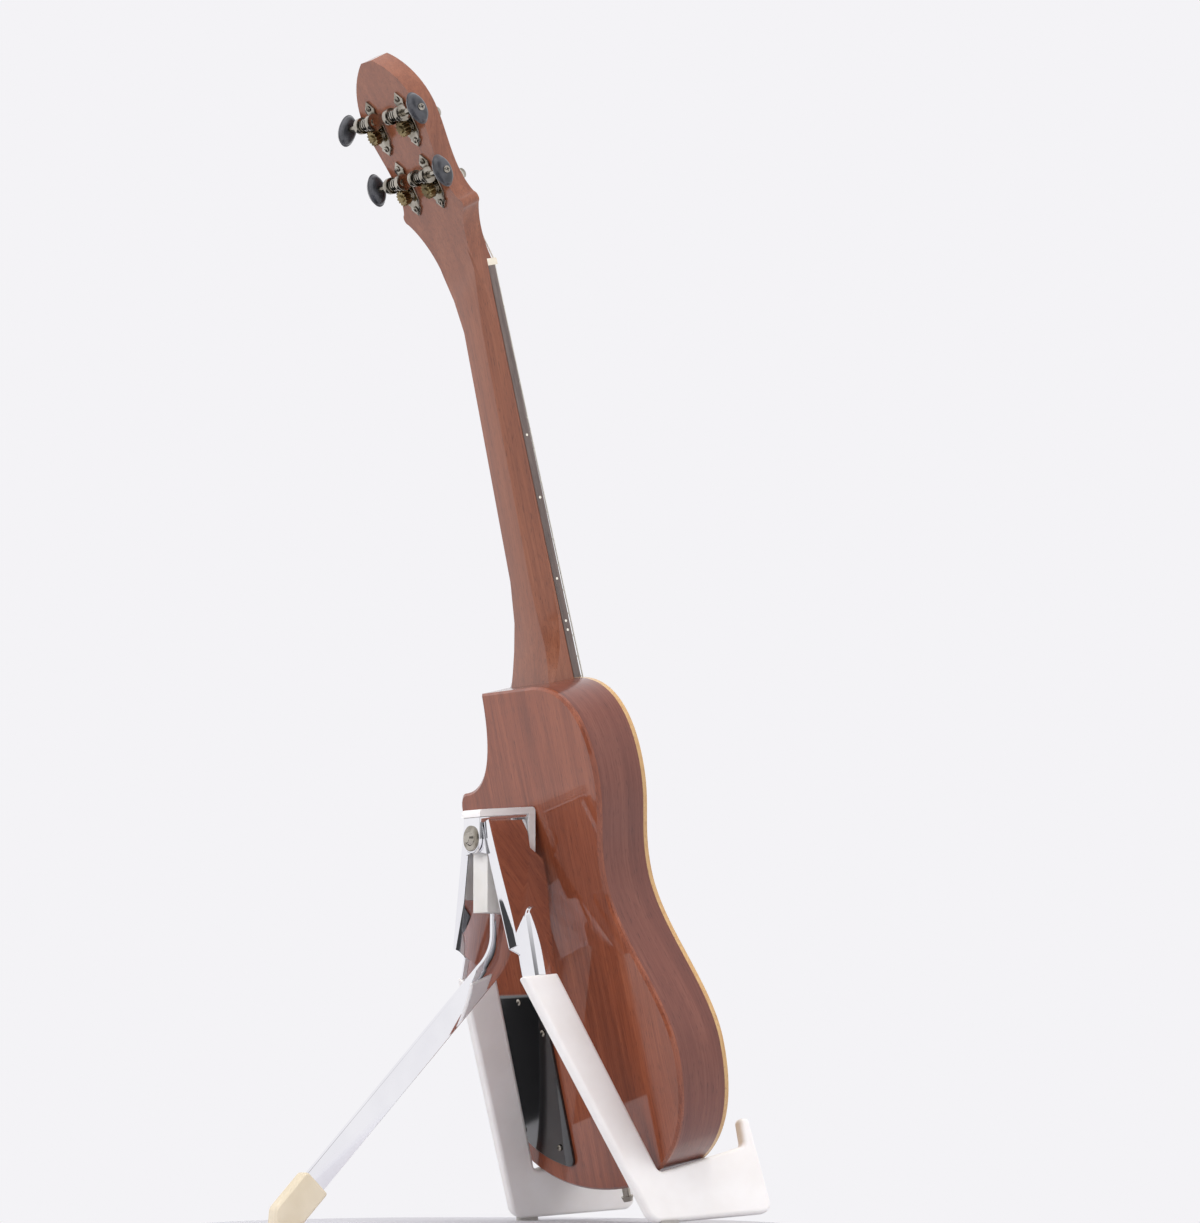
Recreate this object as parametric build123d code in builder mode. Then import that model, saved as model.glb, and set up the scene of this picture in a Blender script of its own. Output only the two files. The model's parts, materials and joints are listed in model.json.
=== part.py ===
from build123d import *
from math import atan2, cos, degrees, hypot, radians, sin, tan
import os

# Cutaway tenor ukulele with a thin body, leaning on a small folding stand.
# Millimetres, +Z up. The soundboard faces -Y, the back faces +Y and the cutaway is at +X.
# The sizes count Y from below the joint of neck and body; every piece is then moved forward so
# that the origin lies on the floor in the middle of the footprint.

# ---------------------------------------------------------------- driving dimensions
scale_length = 432.0            # nut to saddle, tenor
frets_clear = 14                # frets between nut and body
fret_count = 19
lean = 13.3                     # degrees that the instrument leans back from upright
seat_height = 26.505            # floor to the soundboard's lower end
seat_y = -66.945                # the same point's place along the stand
footprint_middle = 40.7         # distance of the footprint's middle behind the joint

# body
body_length = 291.0
upper_half = 75.3               # half widths of upper bout, waist and lower bout
waist_half = 62.8
lower_half = 100.5
upper_at = 50.0                 # their distances below the joint
waist_at = 113.0
lower_at = 212.0
heel_flat_half = 26.0
roundness = 0.64                # share of a quarter curve's side that its handle takes
body_depth = 34.0
soundboard_thickness = 2.6
back_thickness = 3.0
side_thickness = 2.4
lining_width = 5.0
lining_height = 6.0
block_depth = 28.0
edge_round = 1.4
sound_hole_radius = 24.0
sound_hole_at = 118.0

# cutaway
cutaway_start = 24.5
cutaway_depth = 56.5
horn_half = 68.5
horn_at = 66.0

# neck and fingerboard
nut_width = 34.8
board_width_joint = 46.6
board_thickness = 4.7
neck_depth = 8.6                # below the board, near the body
neck_inset = 0.5                # of the neck from the edge of the board
board_overlap = 54.0            # length of the board over the body
fret_width = 1.9
fret_height = 1.0
nut_length = 4.0
nut_rise = 1.9                  # nut top above the board
dot_radius = 0.8
dot_depth = 1.5

# headstock
head_tilt = 15.7                # degrees back from the neck
head_back_depth = 8.3           # back face below the board's underside, at the nut
head_thickness = 12.0
head_length = 130.4
head_top_half = 5.5
head_shoulder_half = 29.6
head_shoulder_at = 94.0
head_waist_half = 24.8
head_waist_at = 58.0
ear_half = 31.4
ear_at = 37.4

# tuners: centres of the four base plates on the headstock's back face
tuner_rows = {"lower": (13.3, 54.6), "upper": (15.6, 92.4)}
plate_length = 33.6
plate_width = 12.4
plate_thickness = 1.2
gear_drop = 3.6                 # gear axis below the plate's centre
worm_rise = 5.0                 # worm axis above the plate's centre
worm_height = 6.1               # worm axis above the headstock's back face
worm_radius = 3.7
worm_clearance = 0.2            # worm crest to gear tip
shaft_radius = 1.9
running_fit = 0.1               # radial clearance of everything that turns
lug_radius = 4.8
lug_thickness = 3.4
lug_spacing = 12.2
gear_teeth = 14
gear_height = 4.2
post_radius = 3.0
post_rise = 9.0                 # post above the headstock's front
ferrule_radius = 4.4
knob_offset = 22.4              # knob centre from the plate's centre
knob_length = 19.4
knob_depth = 11.2
knob_thickness = 8.4
knob_end_radius = 4.2
knob_taper = 16
knob_turns = {"lower_treble": 12, "lower_bass": 0, "upper_treble": 42, "upper_bass": -4}
worm_turns = 4
seat_gap = 0.3                  # between surfaces of different bodies that lie together

# bridge and strings
bridge_length = 84.0
bridge_width = 24.0
bridge_height = 8.0
saddle_width = 3.0
saddle_length = 66.0
saddle_top = 11.4
string_radius = 0.45
string_tail = 8.0               # cut end left beyond the post
nut_string_span = 27.0
saddle_string_span = 41.0

# control plate on the back and end pin
plate_inner = 20.0
plate_top = 176.0
plate_margin = 12.0             # between the cover and the body's edge
cover_overlap = 7.0             # of the cover over the edge of its cavity
cover_thickness = 1.8
pin_stem_radius = 2.3
pin_flange_radius = 3.6
pin_length = 10.5

# stand
splay = 16.0                    # degrees of each side plate from upright
foot_half = 71.5                # centre of each leg's foot from the centre line
pad_height = 1.0
sheet = 1.5
sleeve_thickness = 7.6
sleeve_edge = 2.4
rivet_height = 217.3
rivet_radius = 3.0
rivet_dome_radius = 4.0
washer_radius = 7.3
washer_thickness = 1.0
tab_half = 8.6
tab_rear = 54.3                 # rear face of the head bracket
bracket_sheet = 2.0
bracket_top = rivet_height + 11.9
cushion_thickness = 4.2
cushion_bottom = rivet_height - 7.6
cushion_round = 2.2
cushion_rise = 2.8              # the head rises this much towards the instrument
flange_depth = 6.5
bead_height = 1.8
bead_width = 11.0
bead_y = 27.0
block_half = 7.5
block_rear = 48.3
block_front = 24.0
block_bottom = rivet_height - 41.8
block_top = rivet_height - 6.7
bar_width = 14.0
bar_thickness = 3.0
bar_axis_y = 34.0
bar_pivot_z = rivet_height - 17.3
bar_bend_z = rivet_height - 65.4
bar_slope = 46.0                # degrees below level, of the bar's lower run
bar_bend_radius = 30.0
pivot_pin_radius = 2.0
rear_foot_y = 156.0             # middle of the rubber foot's top edge
rear_foot_length = 28.2
rear_foot_width = 19.0
rear_foot_thickness = 9.0
bar_in_foot = 16.0

os.makedirs("parts", exist_ok=True)
written = []


def save(part, name):
    """Label a finished piece, centre it over the footprint and write its STEP file."""
    placed = part.moved(Location((0, -footprint_middle, 0)))
    placed.label = name
    export_step(placed, "parts/" + name + ".step")
    written.append((name, part.volume))


# ---------------------------------------------------------------- frames
s_lean, c_lean = sin(radians(lean)), cos(radians(lean))
up_neck = Vector(0, s_lean, c_lean)
out_back = Vector(0, c_lean, -s_lean)
joint = Vector(0, seat_y + body_length * s_lean, seat_height + body_length * c_lean)
# x across, y up the neck, z out of the soundboard
front = Plane(origin=joint, x_dir=(1, 0, 0), z_dir=-out_back)


def neck_section(distance):
    """Plane square to the neck, with x across and y towards the back."""
    return Plane(origin=joint + up_neck * distance, x_dir=(1, 0, 0), z_dir=up_neck)


def fret_distance(number):
    """Distance of a fret from the nut, in equal temperament."""
    return scale_length * (1 - 2 ** (-number / 12))


nut_at = fret_distance(frets_clear)
saddle_at = nut_at - scale_length
head_lean = radians(lean + head_tilt)
up_head = Vector(0, sin(head_lean), cos(head_lean))
head_out = Vector(0, cos(head_lean), -sin(head_lean))
head_origin = joint + up_neck * nut_at + out_back * head_back_depth
# x across, y up the headstock, z towards its front, from the back face
head = Plane(origin=head_origin, x_dir=(1, 0, 0), z_dir=-head_out)


def board_half(distance):
    """Half width of the fingerboard at a distance above the joint."""
    return (board_width_joint + (nut_width - board_width_joint) * distance / nut_at) / 2


# ---------------------------------------------------------------- body outline
def quarter(start, corner, end):
    """A rounded quarter from start to end, bending round the corner."""
    near = tuple(a + (b - a) * roundness for a, b in zip(start, corner))
    far = tuple(a + (b - a) * roundness for a, b in zip(end, corner))
    Bezier(start, near, far, end)


def flank(x_start, y_start, x_end, y_end, reach=0.42):
    """A smooth side between two widths, upright at both ends."""
    step = (y_end - y_start) * reach
    Bezier((x_start, y_start), (x_start, y_start + step), (x_end, y_end - step), (x_end, y_end))


def body_outline(inset=0.0):
    """The body's outer line, or one that lies inside it: full bouts at -X, the cutaway at +X."""
    upper, waist, lower = upper_half - inset, waist_half - inset, lower_half - inset
    tip, top, bottom = horn_half - inset, -inset, -body_length + inset
    cut, scoop = cutaway_start - inset, (tip - 6.5, top - cutaway_depth)
    Line((cut, top), (-heel_flat_half, top))
    quarter((-heel_flat_half, top), (-upper, top), (-upper, -upper_at))
    flank(-upper, -upper_at, -waist, -waist_at)
    flank(-waist, -waist_at, -lower, -lower_at, 0.34)
    quarter((-lower, -lower_at), (-lower, bottom), (0, bottom))
    quarter((0, bottom), (lower, bottom), (lower, -lower_at))
    flank(lower, -lower_at, waist, -waist_at, 0.34)
    flank(waist, -waist_at, tip, top - horn_at)
    quarter((tip, top - horn_at), (tip, scoop[1]), scoop)
    Bezier(scoop, (scoop[0] - 24, scoop[1]), (cut + 1, top - 34), (cut, top))


def body_slab(level, height, inset=0.0):
    """A layer of the body, from a level in front of the soundboard's face."""
    with BuildPart() as slab:
        with BuildSketch(front.offset(level)):
            with BuildLine():
                body_outline(inset)
            make_face()
        extrude(amount=height)
    return slab.part


back_face = -body_depth
back_inner = back_face + back_thickness
rim_height = body_depth - back_thickness - soundboard_thickness

soundboard_blank = body_slab(-soundboard_thickness, soundboard_thickness)
rim_outer = body_slab(back_inner, rim_height)
rim_inner = body_slab(back_inner, rim_height, side_thickness)

with BuildPart() as soundboard:
    add(soundboard_blank)
    with BuildSketch(front):
        with Locations((0, -sound_hole_at)):
            Circle(sound_hole_radius)
    extrude(amount=-soundboard_thickness, mode=Mode.SUBTRACT)
save(soundboard.part, "soundboard")

with BuildPart() as rosette:
    with BuildSketch(front):
        with Locations((0, -sound_hole_at)):
            Circle(sound_hole_radius + 7)
            Circle(sound_hole_radius + 2, mode=Mode.SUBTRACT)
    extrude(amount=0.4)
save(rosette.part, "rosette")

with BuildPart() as sides:
    add(rim_outer)
    add(rim_inner, mode=Mode.SUBTRACT)
save(sides.part, "sides")


def lining(level):
    """The strip that stiffens the corner of the sides and a plate."""
    outer = body_slab(level, lining_height, side_thickness)
    inner = body_slab(level, lining_height, side_thickness + lining_width)
    with BuildPart() as strip:
        add(outer)
        add(inner, mode=Mode.SUBTRACT)
    return strip.part


top_strip = lining(-soundboard_thickness - lining_height)
back_strip = lining(back_inner)
save(top_strip, "top_lining")
save(back_strip, "back_lining")


def cover_outline(margin, corner):
    """Control cover: straight inner and top edges, the rest follows the lower bout."""
    with BuildSketch(front.offset(back_face)) as cover_face:
        with BuildLine():
            body_outline(plate_margin + margin)
        make_face()
        with Locations((plate_inner + margin, -plate_top - margin)):
            Rectangle(lower_half, body_length, align=(Align.MIN, Align.MAX), mode=Mode.INTERSECT)
        fillet(cover_face.vertices(), corner)
    return cover_face.sketch


cavity_face = cover_outline(cover_overlap, 3.0)
cover_face = cover_outline(0.0, 5.0)
back_slab = body_slab(back_face + edge_round, back_thickness - edge_round)
with BuildPart() as back_plate:
    add(back_slab)
    for inset in (0.0, edge_round):
        with BuildSketch(front.offset(back_face + edge_round - inset)):
            with BuildLine():
                body_outline(inset)
            make_face()
    loft(ruled=True)
    extrude(cavity_face, amount=back_thickness, mode=Mode.SUBTRACT)
save(back_plate.part, "back_plate")

with BuildPart() as control_cover:
    extrude(cover_face, amount=-cover_thickness)
save(control_cover.part, "control_cover")

# ---------------------------------------------------------------- inner structure
with BuildPart() as neck_block:
    with BuildSketch(front.offset(back_inner)):
        with Locations((cutaway_start / 2 - heel_flat_half / 2, -side_thickness)):
            Rectangle(0.83 * (cutaway_start + heel_flat_half), block_depth, align=(Align.CENTER, Align.MAX))
    extrude(amount=rim_height)
    add(rim_inner, mode=Mode.INTERSECT)
    add(top_strip, mode=Mode.SUBTRACT)
    add(back_strip, mode=Mode.SUBTRACT)
save(neck_block.part, "neck_block")

with BuildPart() as tail_block:
    with BuildSketch(front.offset(back_inner)):
        with Locations((0, -body_length)):
            Rectangle(2 * block_depth, 1.4 * block_depth)
    extrude(amount=rim_height)
    add(rim_inner, mode=Mode.INTERSECT)
    add(top_strip, mode=Mode.SUBTRACT)
    add(back_strip, mode=Mode.SUBTRACT)
save(tail_block.part, "tail_block")

brace_width = 5.0
brace_height = 7.0
brace_room = body_slab(back_inner, rim_height, side_thickness + lining_width + seat_gap)


def braces(level, height, rows):
    """Cross bars between the linings, at distances below the joint."""
    with BuildPart() as bars:
        with BuildSketch(front.offset(level)):
            for at in rows:
                with Locations((0, -at)):
                    Rectangle(2 * lower_half, brace_width)
        extrude(amount=height)
        add(brace_room, mode=Mode.INTERSECT)
    return bars.part


save(braces(-soundboard_thickness, -brace_height, [share * body_length for share in (0.282, 0.53, 0.811)]), "top_braces")
save(braces(back_inner, brace_height, [share * body_length for share in (0.22, 0.48)]), "back_braces")

# ---------------------------------------------------------------- neck and headstock
# Stations of the neck: share of the way to the nut, inset from the board's edge, then the depth of
# the side walls, the half width of the flat back and its depth, as shares of the neck's own sizes.
neck_stations = [
    (0.0, neck_inset, 1.63, 0.855, 1.79),
    (0.033, neck_inset, 1.10, 0.81, 1.56),
    (0.084, neck_inset, 0.535, 0.726, 1.28),
    (0.15, neck_inset, 0.233, 0.566, 1.116),
    (0.25, neck_inset, 0.14, 0.46, 1.0),
    (0.856, neck_inset, 0.174, 0.536, 0.837),
    (0.936, neck_inset, 0.51, 0.73, 0.907),
    (1.0, 0.0, 0.953, 0.943, 1.08),
    (1.058, -0.2, 1.30, 0.983, 1.407),
]


def head_outline():
    """Paddle headstock: flared neck, pointed ears, waist, shoulders and a short flat top."""
    shoulder = (head_shoulder_half, head_shoulder_at)
    top = (head_top_half, head_length)
    ear_low = (ear_half - 2.0, ear_at - 3.4)
    ear_high = (ear_half - 2.2, ear_at + 3.2)
    waist = (head_waist_half, head_waist_at)
    root = nut_width / 2
    for side in (1, -1):
        Line((0, -2), (side * root, -2))
        Line((side * root, -2), (side * root, 0))
        Bezier((side * root, 0), (side * root, 14), (side * (root + 5), 26), (side * ear_low[0], ear_low[1]))
        ThreePointArc((side * ear_low[0], ear_low[1]), (side * ear_half, ear_at),
                      (side * ear_high[0], ear_high[1]))
        Bezier((side * ear_high[0], ear_high[1]), (side * (waist[0] + 1.8), ear_high[1] + 4),
               (side * waist[0], waist[1] - 8), (side * waist[0], waist[1]))
        Bezier((side * waist[0], waist[1]), (side * waist[0], waist[1] + 12),
               (side * shoulder[0], shoulder[1] - 12), (side * shoulder[0], shoulder[1]))
        Bezier((side * shoulder[0], shoulder[1]), (side * shoulder[0], shoulder[1] + 16),
               (side * (top[0] + 13), top[1] - 7), (side * top[0], top[1]))
        Line((side * top[0], top[1]), (0, top[1]))


def tuner_places():
    """Name, side and plate centre of each tuner."""
    for row, (x, y) in tuner_rows.items():
        for label, side in (("treble", 1), ("bass", -1)):
            yield row + "_" + label, side, side * x, y


post_spots = [(x, y - gear_drop) for name, side, x, y in tuner_places()]

with BuildPart() as neck:
    for share, inset, wall_share, flat_share, depth_share in neck_stations:
        half = board_half(share * nut_at) - inset
        wall, depth = wall_share * neck_depth, depth_share * neck_depth
        flat = flat_share * half
        with BuildSketch(neck_section(share * nut_at)):
            Polygon((-half, 0), (half, 0), (half, wall), (flat, depth), (-flat, depth), (-half, wall),
                    align=None)
    loft(ruled=True)
    with BuildSketch(head):
        with BuildLine():
            head_outline()
        make_face()
    extrude(amount=head_thickness)
    # seat of the nut, level with the underside of the fingerboard
    with BuildSketch(neck_section(nut_at - 6)):
        Rectangle(4 * nut_width, 30, align=(Align.CENTER, Align.MAX))
    extrude(amount=6 + nut_length, mode=Mode.SUBTRACT)
    with BuildSketch(head):
        with Locations(*post_spots):
            Circle(ferrule_radius)
    extrude(amount=head_thickness, mode=Mode.SUBTRACT)
save(neck.part, "neck")

dot_numbers = [(5, 0), (7, 0), (10, 0), (12, 2.6), (12, -2.6)]
dot_places = []
for number, shift in dot_numbers:
    middle = (fret_distance(number) + fret_distance(number - 1)) / 2
    dot_places.append(nut_at - middle + shift)


def dot_axis(distance):
    """Plane at the bass edge of the board, looking across it."""
    edge = front.from_local_coords((-board_half(distance) + dot_depth, distance, board_thickness / 2))
    return Plane(origin=edge, x_dir=tuple(up_neck), z_dir=(-1, 0, 0))


with BuildPart() as fingerboard:
    with BuildSketch(front):
        low, high = board_half(-board_overlap), board_half(nut_at)
        Polygon((-low, -board_overlap), (low, -board_overlap), (high, nut_at), (-high, nut_at), align=None)
    extrude(amount=board_thickness)
    board_blank = fingerboard.part
    for place in dot_places:
        with BuildSketch(dot_axis(place)):
            RegularPolygon(dot_radius, 8)
        extrude(amount=2 * dot_depth, mode=Mode.SUBTRACT)
save(fingerboard.part, "fingerboard")

with BuildPart() as side_dots:
    for place in dot_places:
        with BuildSketch(dot_axis(place)):
            RegularPolygon(dot_radius, 8)
        extrude(amount=dot_depth - 0.05)
save(side_dots.part, "side_dots")

with BuildPart() as frets:
    with BuildSketch(front.offset(board_thickness)):
        for number in range(1, fret_count + 1):
            place = nut_at - fret_distance(number)
            with Locations((0, place)):
                Rectangle(2 * board_half(place) - 0.6, fret_width)
    extrude(amount=fret_height, taper=28)
save(frets.part, "frets")

with BuildPart() as nut:
    with BuildSketch(front):
        with Locations((0, nut_at + nut_length / 2)):
            Rectangle(nut_width, nut_length)
    extrude(amount=board_thickness + nut_rise)
    crown = nut.faces().sort_by(Axis((0, 0, 0), tuple(-out_back)))[-1]
    fillet(crown.edges().sort_by(Axis((0, 0, 0), tuple(up_neck)))[-1], 1.2)
save(nut.part, "nut")

# ---------------------------------------------------------------- bridge, saddle, strings
saddle_slot = 3.0
with BuildPart() as bridge:
    with BuildSketch(front):
        with Locations((0, saddle_at - 3)):
            RectangleRounded(bridge_length, bridge_width, 4)
    extrude(amount=bridge_height, taper=12)
    with BuildSketch(front.offset(bridge_height)):
        with Locations((0, saddle_at)):
            Rectangle(saddle_length, saddle_width)
    extrude(amount=-saddle_slot, mode=Mode.SUBTRACT)
    with BuildSketch(front.offset(bridge_height)):
        with Locations((0, saddle_at - 5)):
            Rectangle(bridge_length, 4)
    extrude(amount=-saddle_slot, mode=Mode.SUBTRACT)
save(bridge.part, "bridge")

with BuildPart() as saddle:
    with BuildSketch(front.offset(bridge_height - saddle_slot)):
        with Locations((0, saddle_at)):
            Rectangle(saddle_length, saddle_width)
    extrude(amount=saddle_top - bridge_height + saddle_slot)
save(saddle.part, "saddle")

nut_top = board_thickness + nut_rise
post_reach = post_radius + string_radius + seat_gap


def string_course(position):
    """Path of one string: tie block, saddle, nut and the side of its post."""
    share = position / 1.5
    x_nut = share * nut_string_span / 2
    x_saddle = share * saddle_string_span / 2
    row = "lower" if abs(share) > 0.5 else "upper"
    x_post, y_post = tuner_rows[row]
    side = 1 if share > 0 else -1
    touch = string_radius + 0.1
    return [
        front.from_local_coords((x_saddle, saddle_at - 8, bridge_height + touch)),
        front.from_local_coords((x_saddle, saddle_at - saddle_width / 2, saddle_top + touch)),
        front.from_local_coords((x_nut, nut_at + nut_length, nut_top + touch)),
        head.from_local_coords((side * (x_post - post_reach), y_post - gear_drop, head_thickness + 5)),
    ]


with BuildPart() as strings:
    for position in (-1.5, -0.5, 0.5, 1.5):
        course = string_course(position)
        with BuildLine() as path:
            Polyline(*course)
        with BuildSketch(Plane(origin=course[0], z_dir=tuple(course[1] - course[0]))):
            RegularPolygon(string_radius, 6)
        sweep(path=path.line, transition=Transition.RIGHT)
        tail = head_out * -0.35 + up_head + Vector(0.6 if position > 0 else -0.6, 0, 0)
        with BuildSketch(Plane(origin=course[-1], z_dir=tuple(tail))):
            RegularPolygon(string_radius, 6)
        extrude(amount=string_tail)
save(strings.part, "strings")

# ---------------------------------------------------------------- end pin
with BuildPart() as end_pin:
    pin_plane = Plane(origin=joint - up_neck * body_length + out_back * (body_depth / 2),
                      x_dir=(1, 0, 0), z_dir=-up_neck)
    with BuildSketch(pin_plane):
        Circle(pin_flange_radius)
    extrude(amount=1.2)
    with BuildSketch(pin_plane.offset(1.2)):
        Circle(pin_stem_radius)
    extrude(amount=pin_length - 4.2)
    with BuildSketch(pin_plane.offset(pin_length - 3.0)):
        Circle(pin_flange_radius)
    extrude(amount=3.0, taper=18)
save(end_pin.part, "end_pin")

# ---------------------------------------------------------------- tuners
gear_radius = hypot(0, worm_rise + gear_drop) - worm_radius - worm_clearance
gear_base = worm_height - gear_height / 2 - 0.9


def base_plate(x, y):
    """Base plate with arrow-shaped ends and the two round lugs that carry the worm."""
    half = plate_length / 2
    wide = plate_width / 2
    with BuildPart() as plate:
        with BuildSketch(head):
            with Locations((x, y)):
                Polygon((-wide, -half + 8.5), (-wide + 2.2, -half + 5.5), (-wide + 1.4, -half + 4.2), (0, -half),
                        (wide - 1.4, -half + 4.2), (wide - 2.2, -half + 5.5), (wide, -half + 8.5),
                        (wide, half - 9.5), (wide - 2.6, half - 8.0), (wide - 1.6, half - 5.0), (0, half),
                        (-wide + 1.6, half - 5.0), (-wide + 2.6, half - 8.0), (-wide, half - 9.5), align=None)
            with Locations((x, y - gear_drop)):
                Circle(post_radius + running_fit, mode=Mode.SUBTRACT)
        extrude(amount=-plate_thickness)
        for shift in (-lug_spacing / 2, lug_spacing / 2):
            lug_plane = Plane(origin=head.from_local_coords((x + shift - lug_thickness / 2, y + worm_rise,
                                                             -worm_height)),
                              x_dir=tuple(up_head), z_dir=(1, 0, 0))
            with BuildSketch(lug_plane):
                Circle(lug_radius)
                Rectangle(1.2 * lug_radius, worm_height, align=(Align.CENTER, Align.MIN))
            extrude(amount=lug_thickness)
        with BuildSketch(head):
            Rectangle(200, 400)
        extrude(amount=head_thickness, mode=Mode.SUBTRACT)
        bore_plane = Plane(origin=head.from_local_coords((x - lug_spacing, y + worm_rise, -worm_height)),
                           x_dir=tuple(up_head), z_dir=(1, 0, 0))
        with BuildSketch(bore_plane):
            Circle(shaft_radius + running_fit)
        extrude(amount=2 * lug_spacing, mode=Mode.SUBTRACT)
    return plate.part


def worm_shaft(side, x, y):
    """Shaft with the worm between the lugs; it runs out through the knob."""
    inner_end = x - side * (lug_spacing / 2 + lug_thickness / 2 + 0.8)
    worm_half = (lug_spacing - lug_thickness) / 2 - seat_gap
    start = head.from_local_coords((inner_end, y + worm_rise, -worm_height))
    axis_plane = Plane(origin=start, x_dir=tuple(up_head), z_dir=(side, 0, 0))
    middle = abs(x - inner_end)
    length = middle + knob_offset + knob_thickness / 2
    pitch = 2 * worm_half / worm_turns
    with BuildPart() as shaft:
        with BuildSketch(axis_plane):
            Circle(shaft_radius)
        extrude(amount=length)
        for turn in range(worm_turns):
            with BuildSketch(axis_plane.offset(middle - worm_half + (turn + 0.25) * pitch)):
                Circle(worm_radius)
            extrude(amount=pitch / 2)
    return shaft.part


def oval(length, width, end_radius):
    """Oval of four arcs that meet smoothly."""
    reach = length / 2 - end_radius
    side_radius = (reach ** 2 + (width / 2) ** 2 - end_radius ** 2) / (width - 2 * end_radius)
    share = end_radius / (side_radius - end_radius)
    x_meet = reach * (1 + share)
    y_meet = (side_radius - width / 2) * share
    ThreePointArc((-x_meet, y_meet), (0, width / 2), (x_meet, y_meet))
    ThreePointArc((x_meet, y_meet), (length / 2, 0), (x_meet, -y_meet))
    ThreePointArc((x_meet, -y_meet), (0, -width / 2), (-x_meet, -y_meet))
    ThreePointArc((-x_meet, -y_meet), (-length / 2, 0), (-x_meet, y_meet))


def knob(side, x, y, turn):
    """Oval button, widest at a crease around its middle, bored for the shaft."""
    middle = x + side * knob_offset
    turned = up_head.rotate(Axis.X, turn)
    start = head.from_local_coords((middle, y + worm_rise, -worm_height))
    face = Plane(origin=start, x_dir=tuple(turned), z_dir=(side, 0, 0))
    with BuildPart() as button:
        for way in (1, -1):
            with BuildSketch(face):
                with BuildLine():
                    oval(knob_length, knob_depth, knob_end_radius)
                make_face()
            extrude(amount=way * knob_thickness / 2, taper=knob_taper)
        with BuildSketch(face.offset(-knob_thickness)):
            Circle(shaft_radius)
        extrude(amount=2 * knob_thickness, mode=Mode.SUBTRACT)
    return button.part


def gear(x, y):
    """Toothed wheel on the post, with the head of the screw that holds it."""
    root_radius = gear_radius - 1.1
    plane = Plane(origin=head.from_local_coords((x, y - gear_drop, -gear_base)), x_dir=(1, 0, 0),
                  z_dir=tuple(head_out))
    with BuildPart() as wheel:
        with BuildSketch(plane):
            Circle(root_radius)
            with PolarLocations(root_radius - 0.3, gear_teeth):
                Trapezoid(1.7, 1.4, 66, rotation=-90, align=(Align.CENTER, Align.MIN))
        extrude(amount=gear_height)
        with BuildSketch(plane.offset(gear_height)):
            Circle(root_radius * 0.62)
        extrude(amount=1.0, taper=15)
        with BuildSketch(plane.offset(gear_height + 1.0)):
            Rectangle(2 * root_radius, 0.7)
        extrude(amount=-0.6, mode=Mode.SUBTRACT)
    return wheel.part


def post(x, y):
    """String post through plate, headstock and ferrule."""
    plane = Plane(origin=head.from_local_coords((x, y - gear_drop, -gear_base)), x_dir=(1, 0, 0),
                  z_dir=tuple(-head_out))
    length = gear_base + head_thickness + post_rise
    with BuildPart() as shank:
        with BuildSketch(plane):
            Circle(post_radius)
        extrude(amount=length)
        with BuildSketch(plane.offset(length - 5.4)):
            Circle(post_radius + 1)
            Circle(post_radius - 0.6, mode=Mode.SUBTRACT)
        extrude(amount=3.0, mode=Mode.SUBTRACT)
        top_edge = shank.edges().sort_by(Axis((0, 0, 0), tuple(-head_out)))[-1]
        chamfer(top_edge, 0.5)
    return shank.part


with BuildPart() as post_ferrules:
    with BuildSketch(head.offset(3.0)):
        with Locations(*post_spots):
            Circle(ferrule_radius)
            Circle(post_radius + running_fit, mode=Mode.SUBTRACT)
    extrude(amount=head_thickness - 2.0)
save(post_ferrules.part, "post_ferrules")

for name, side, x, y in tuner_places():
    save(base_plate(x, y), name + "_tuner_plate")
    save(worm_shaft(side, x, y), name + "_worm_shaft")
    save(knob(side, x, y, knob_turns[name]), name + "_knob")
    save(gear(x, y), name + "_gear")
    save(post(x, y), name + "_post")

# ---------------------------------------------------------------- stand: side plates and sleeves
s_splay, c_splay = sin(radians(splay)), cos(radians(splay))
leg_base = pad_height + 0.6     # height of the sleeve's lower corner above the floor


def leg_plane(side):
    """Plane of one side plate: x towards the back, y up the plate, z towards +X."""
    return Plane(origin=(side * foot_half, 0, leg_base), x_dir=(0, 1, 0), z_dir=(c_splay, 0, side * s_splay))


def up_plate(z):
    """Distance up the splayed plate of a height above the floor."""
    return (z - leg_base) / c_splay


def plate_x(side, z):
    """X of the plate's middle at a height above the floor."""
    return side * (foot_half - (z - leg_base) * tan(radians(splay)))


sleeve_top = up_plate(138.6)
tongue = 14.0
sleeve_rear = 41.6               # rear edge of the sleeve at its top
top_rise = 2.2                   # of the web's top edge towards the front
web_top = up_plate(bracket_top - bracket_sheet - 2 * seat_gap)
flange_bottom = rivet_height - 63.0
rear_taper = 5.7                # how far the rear edge leans forward down to the flange's end
plate_front_low = 14.6
plate_front_high = 22.4
rear_leg_slope = radians(lean)
arm_front = -102.6
arm_notch = (-28.6, 28.75)
horn_rear = -90.0
horn_top = 60.0
arm_rise = tan(rear_leg_slope) / c_splay


def arm_top(y):
    """Distance up the plate of the arm's upper edge, which slopes with the instrument."""
    return arm_notch[1] + (arm_notch[0] - y) * arm_rise


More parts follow.
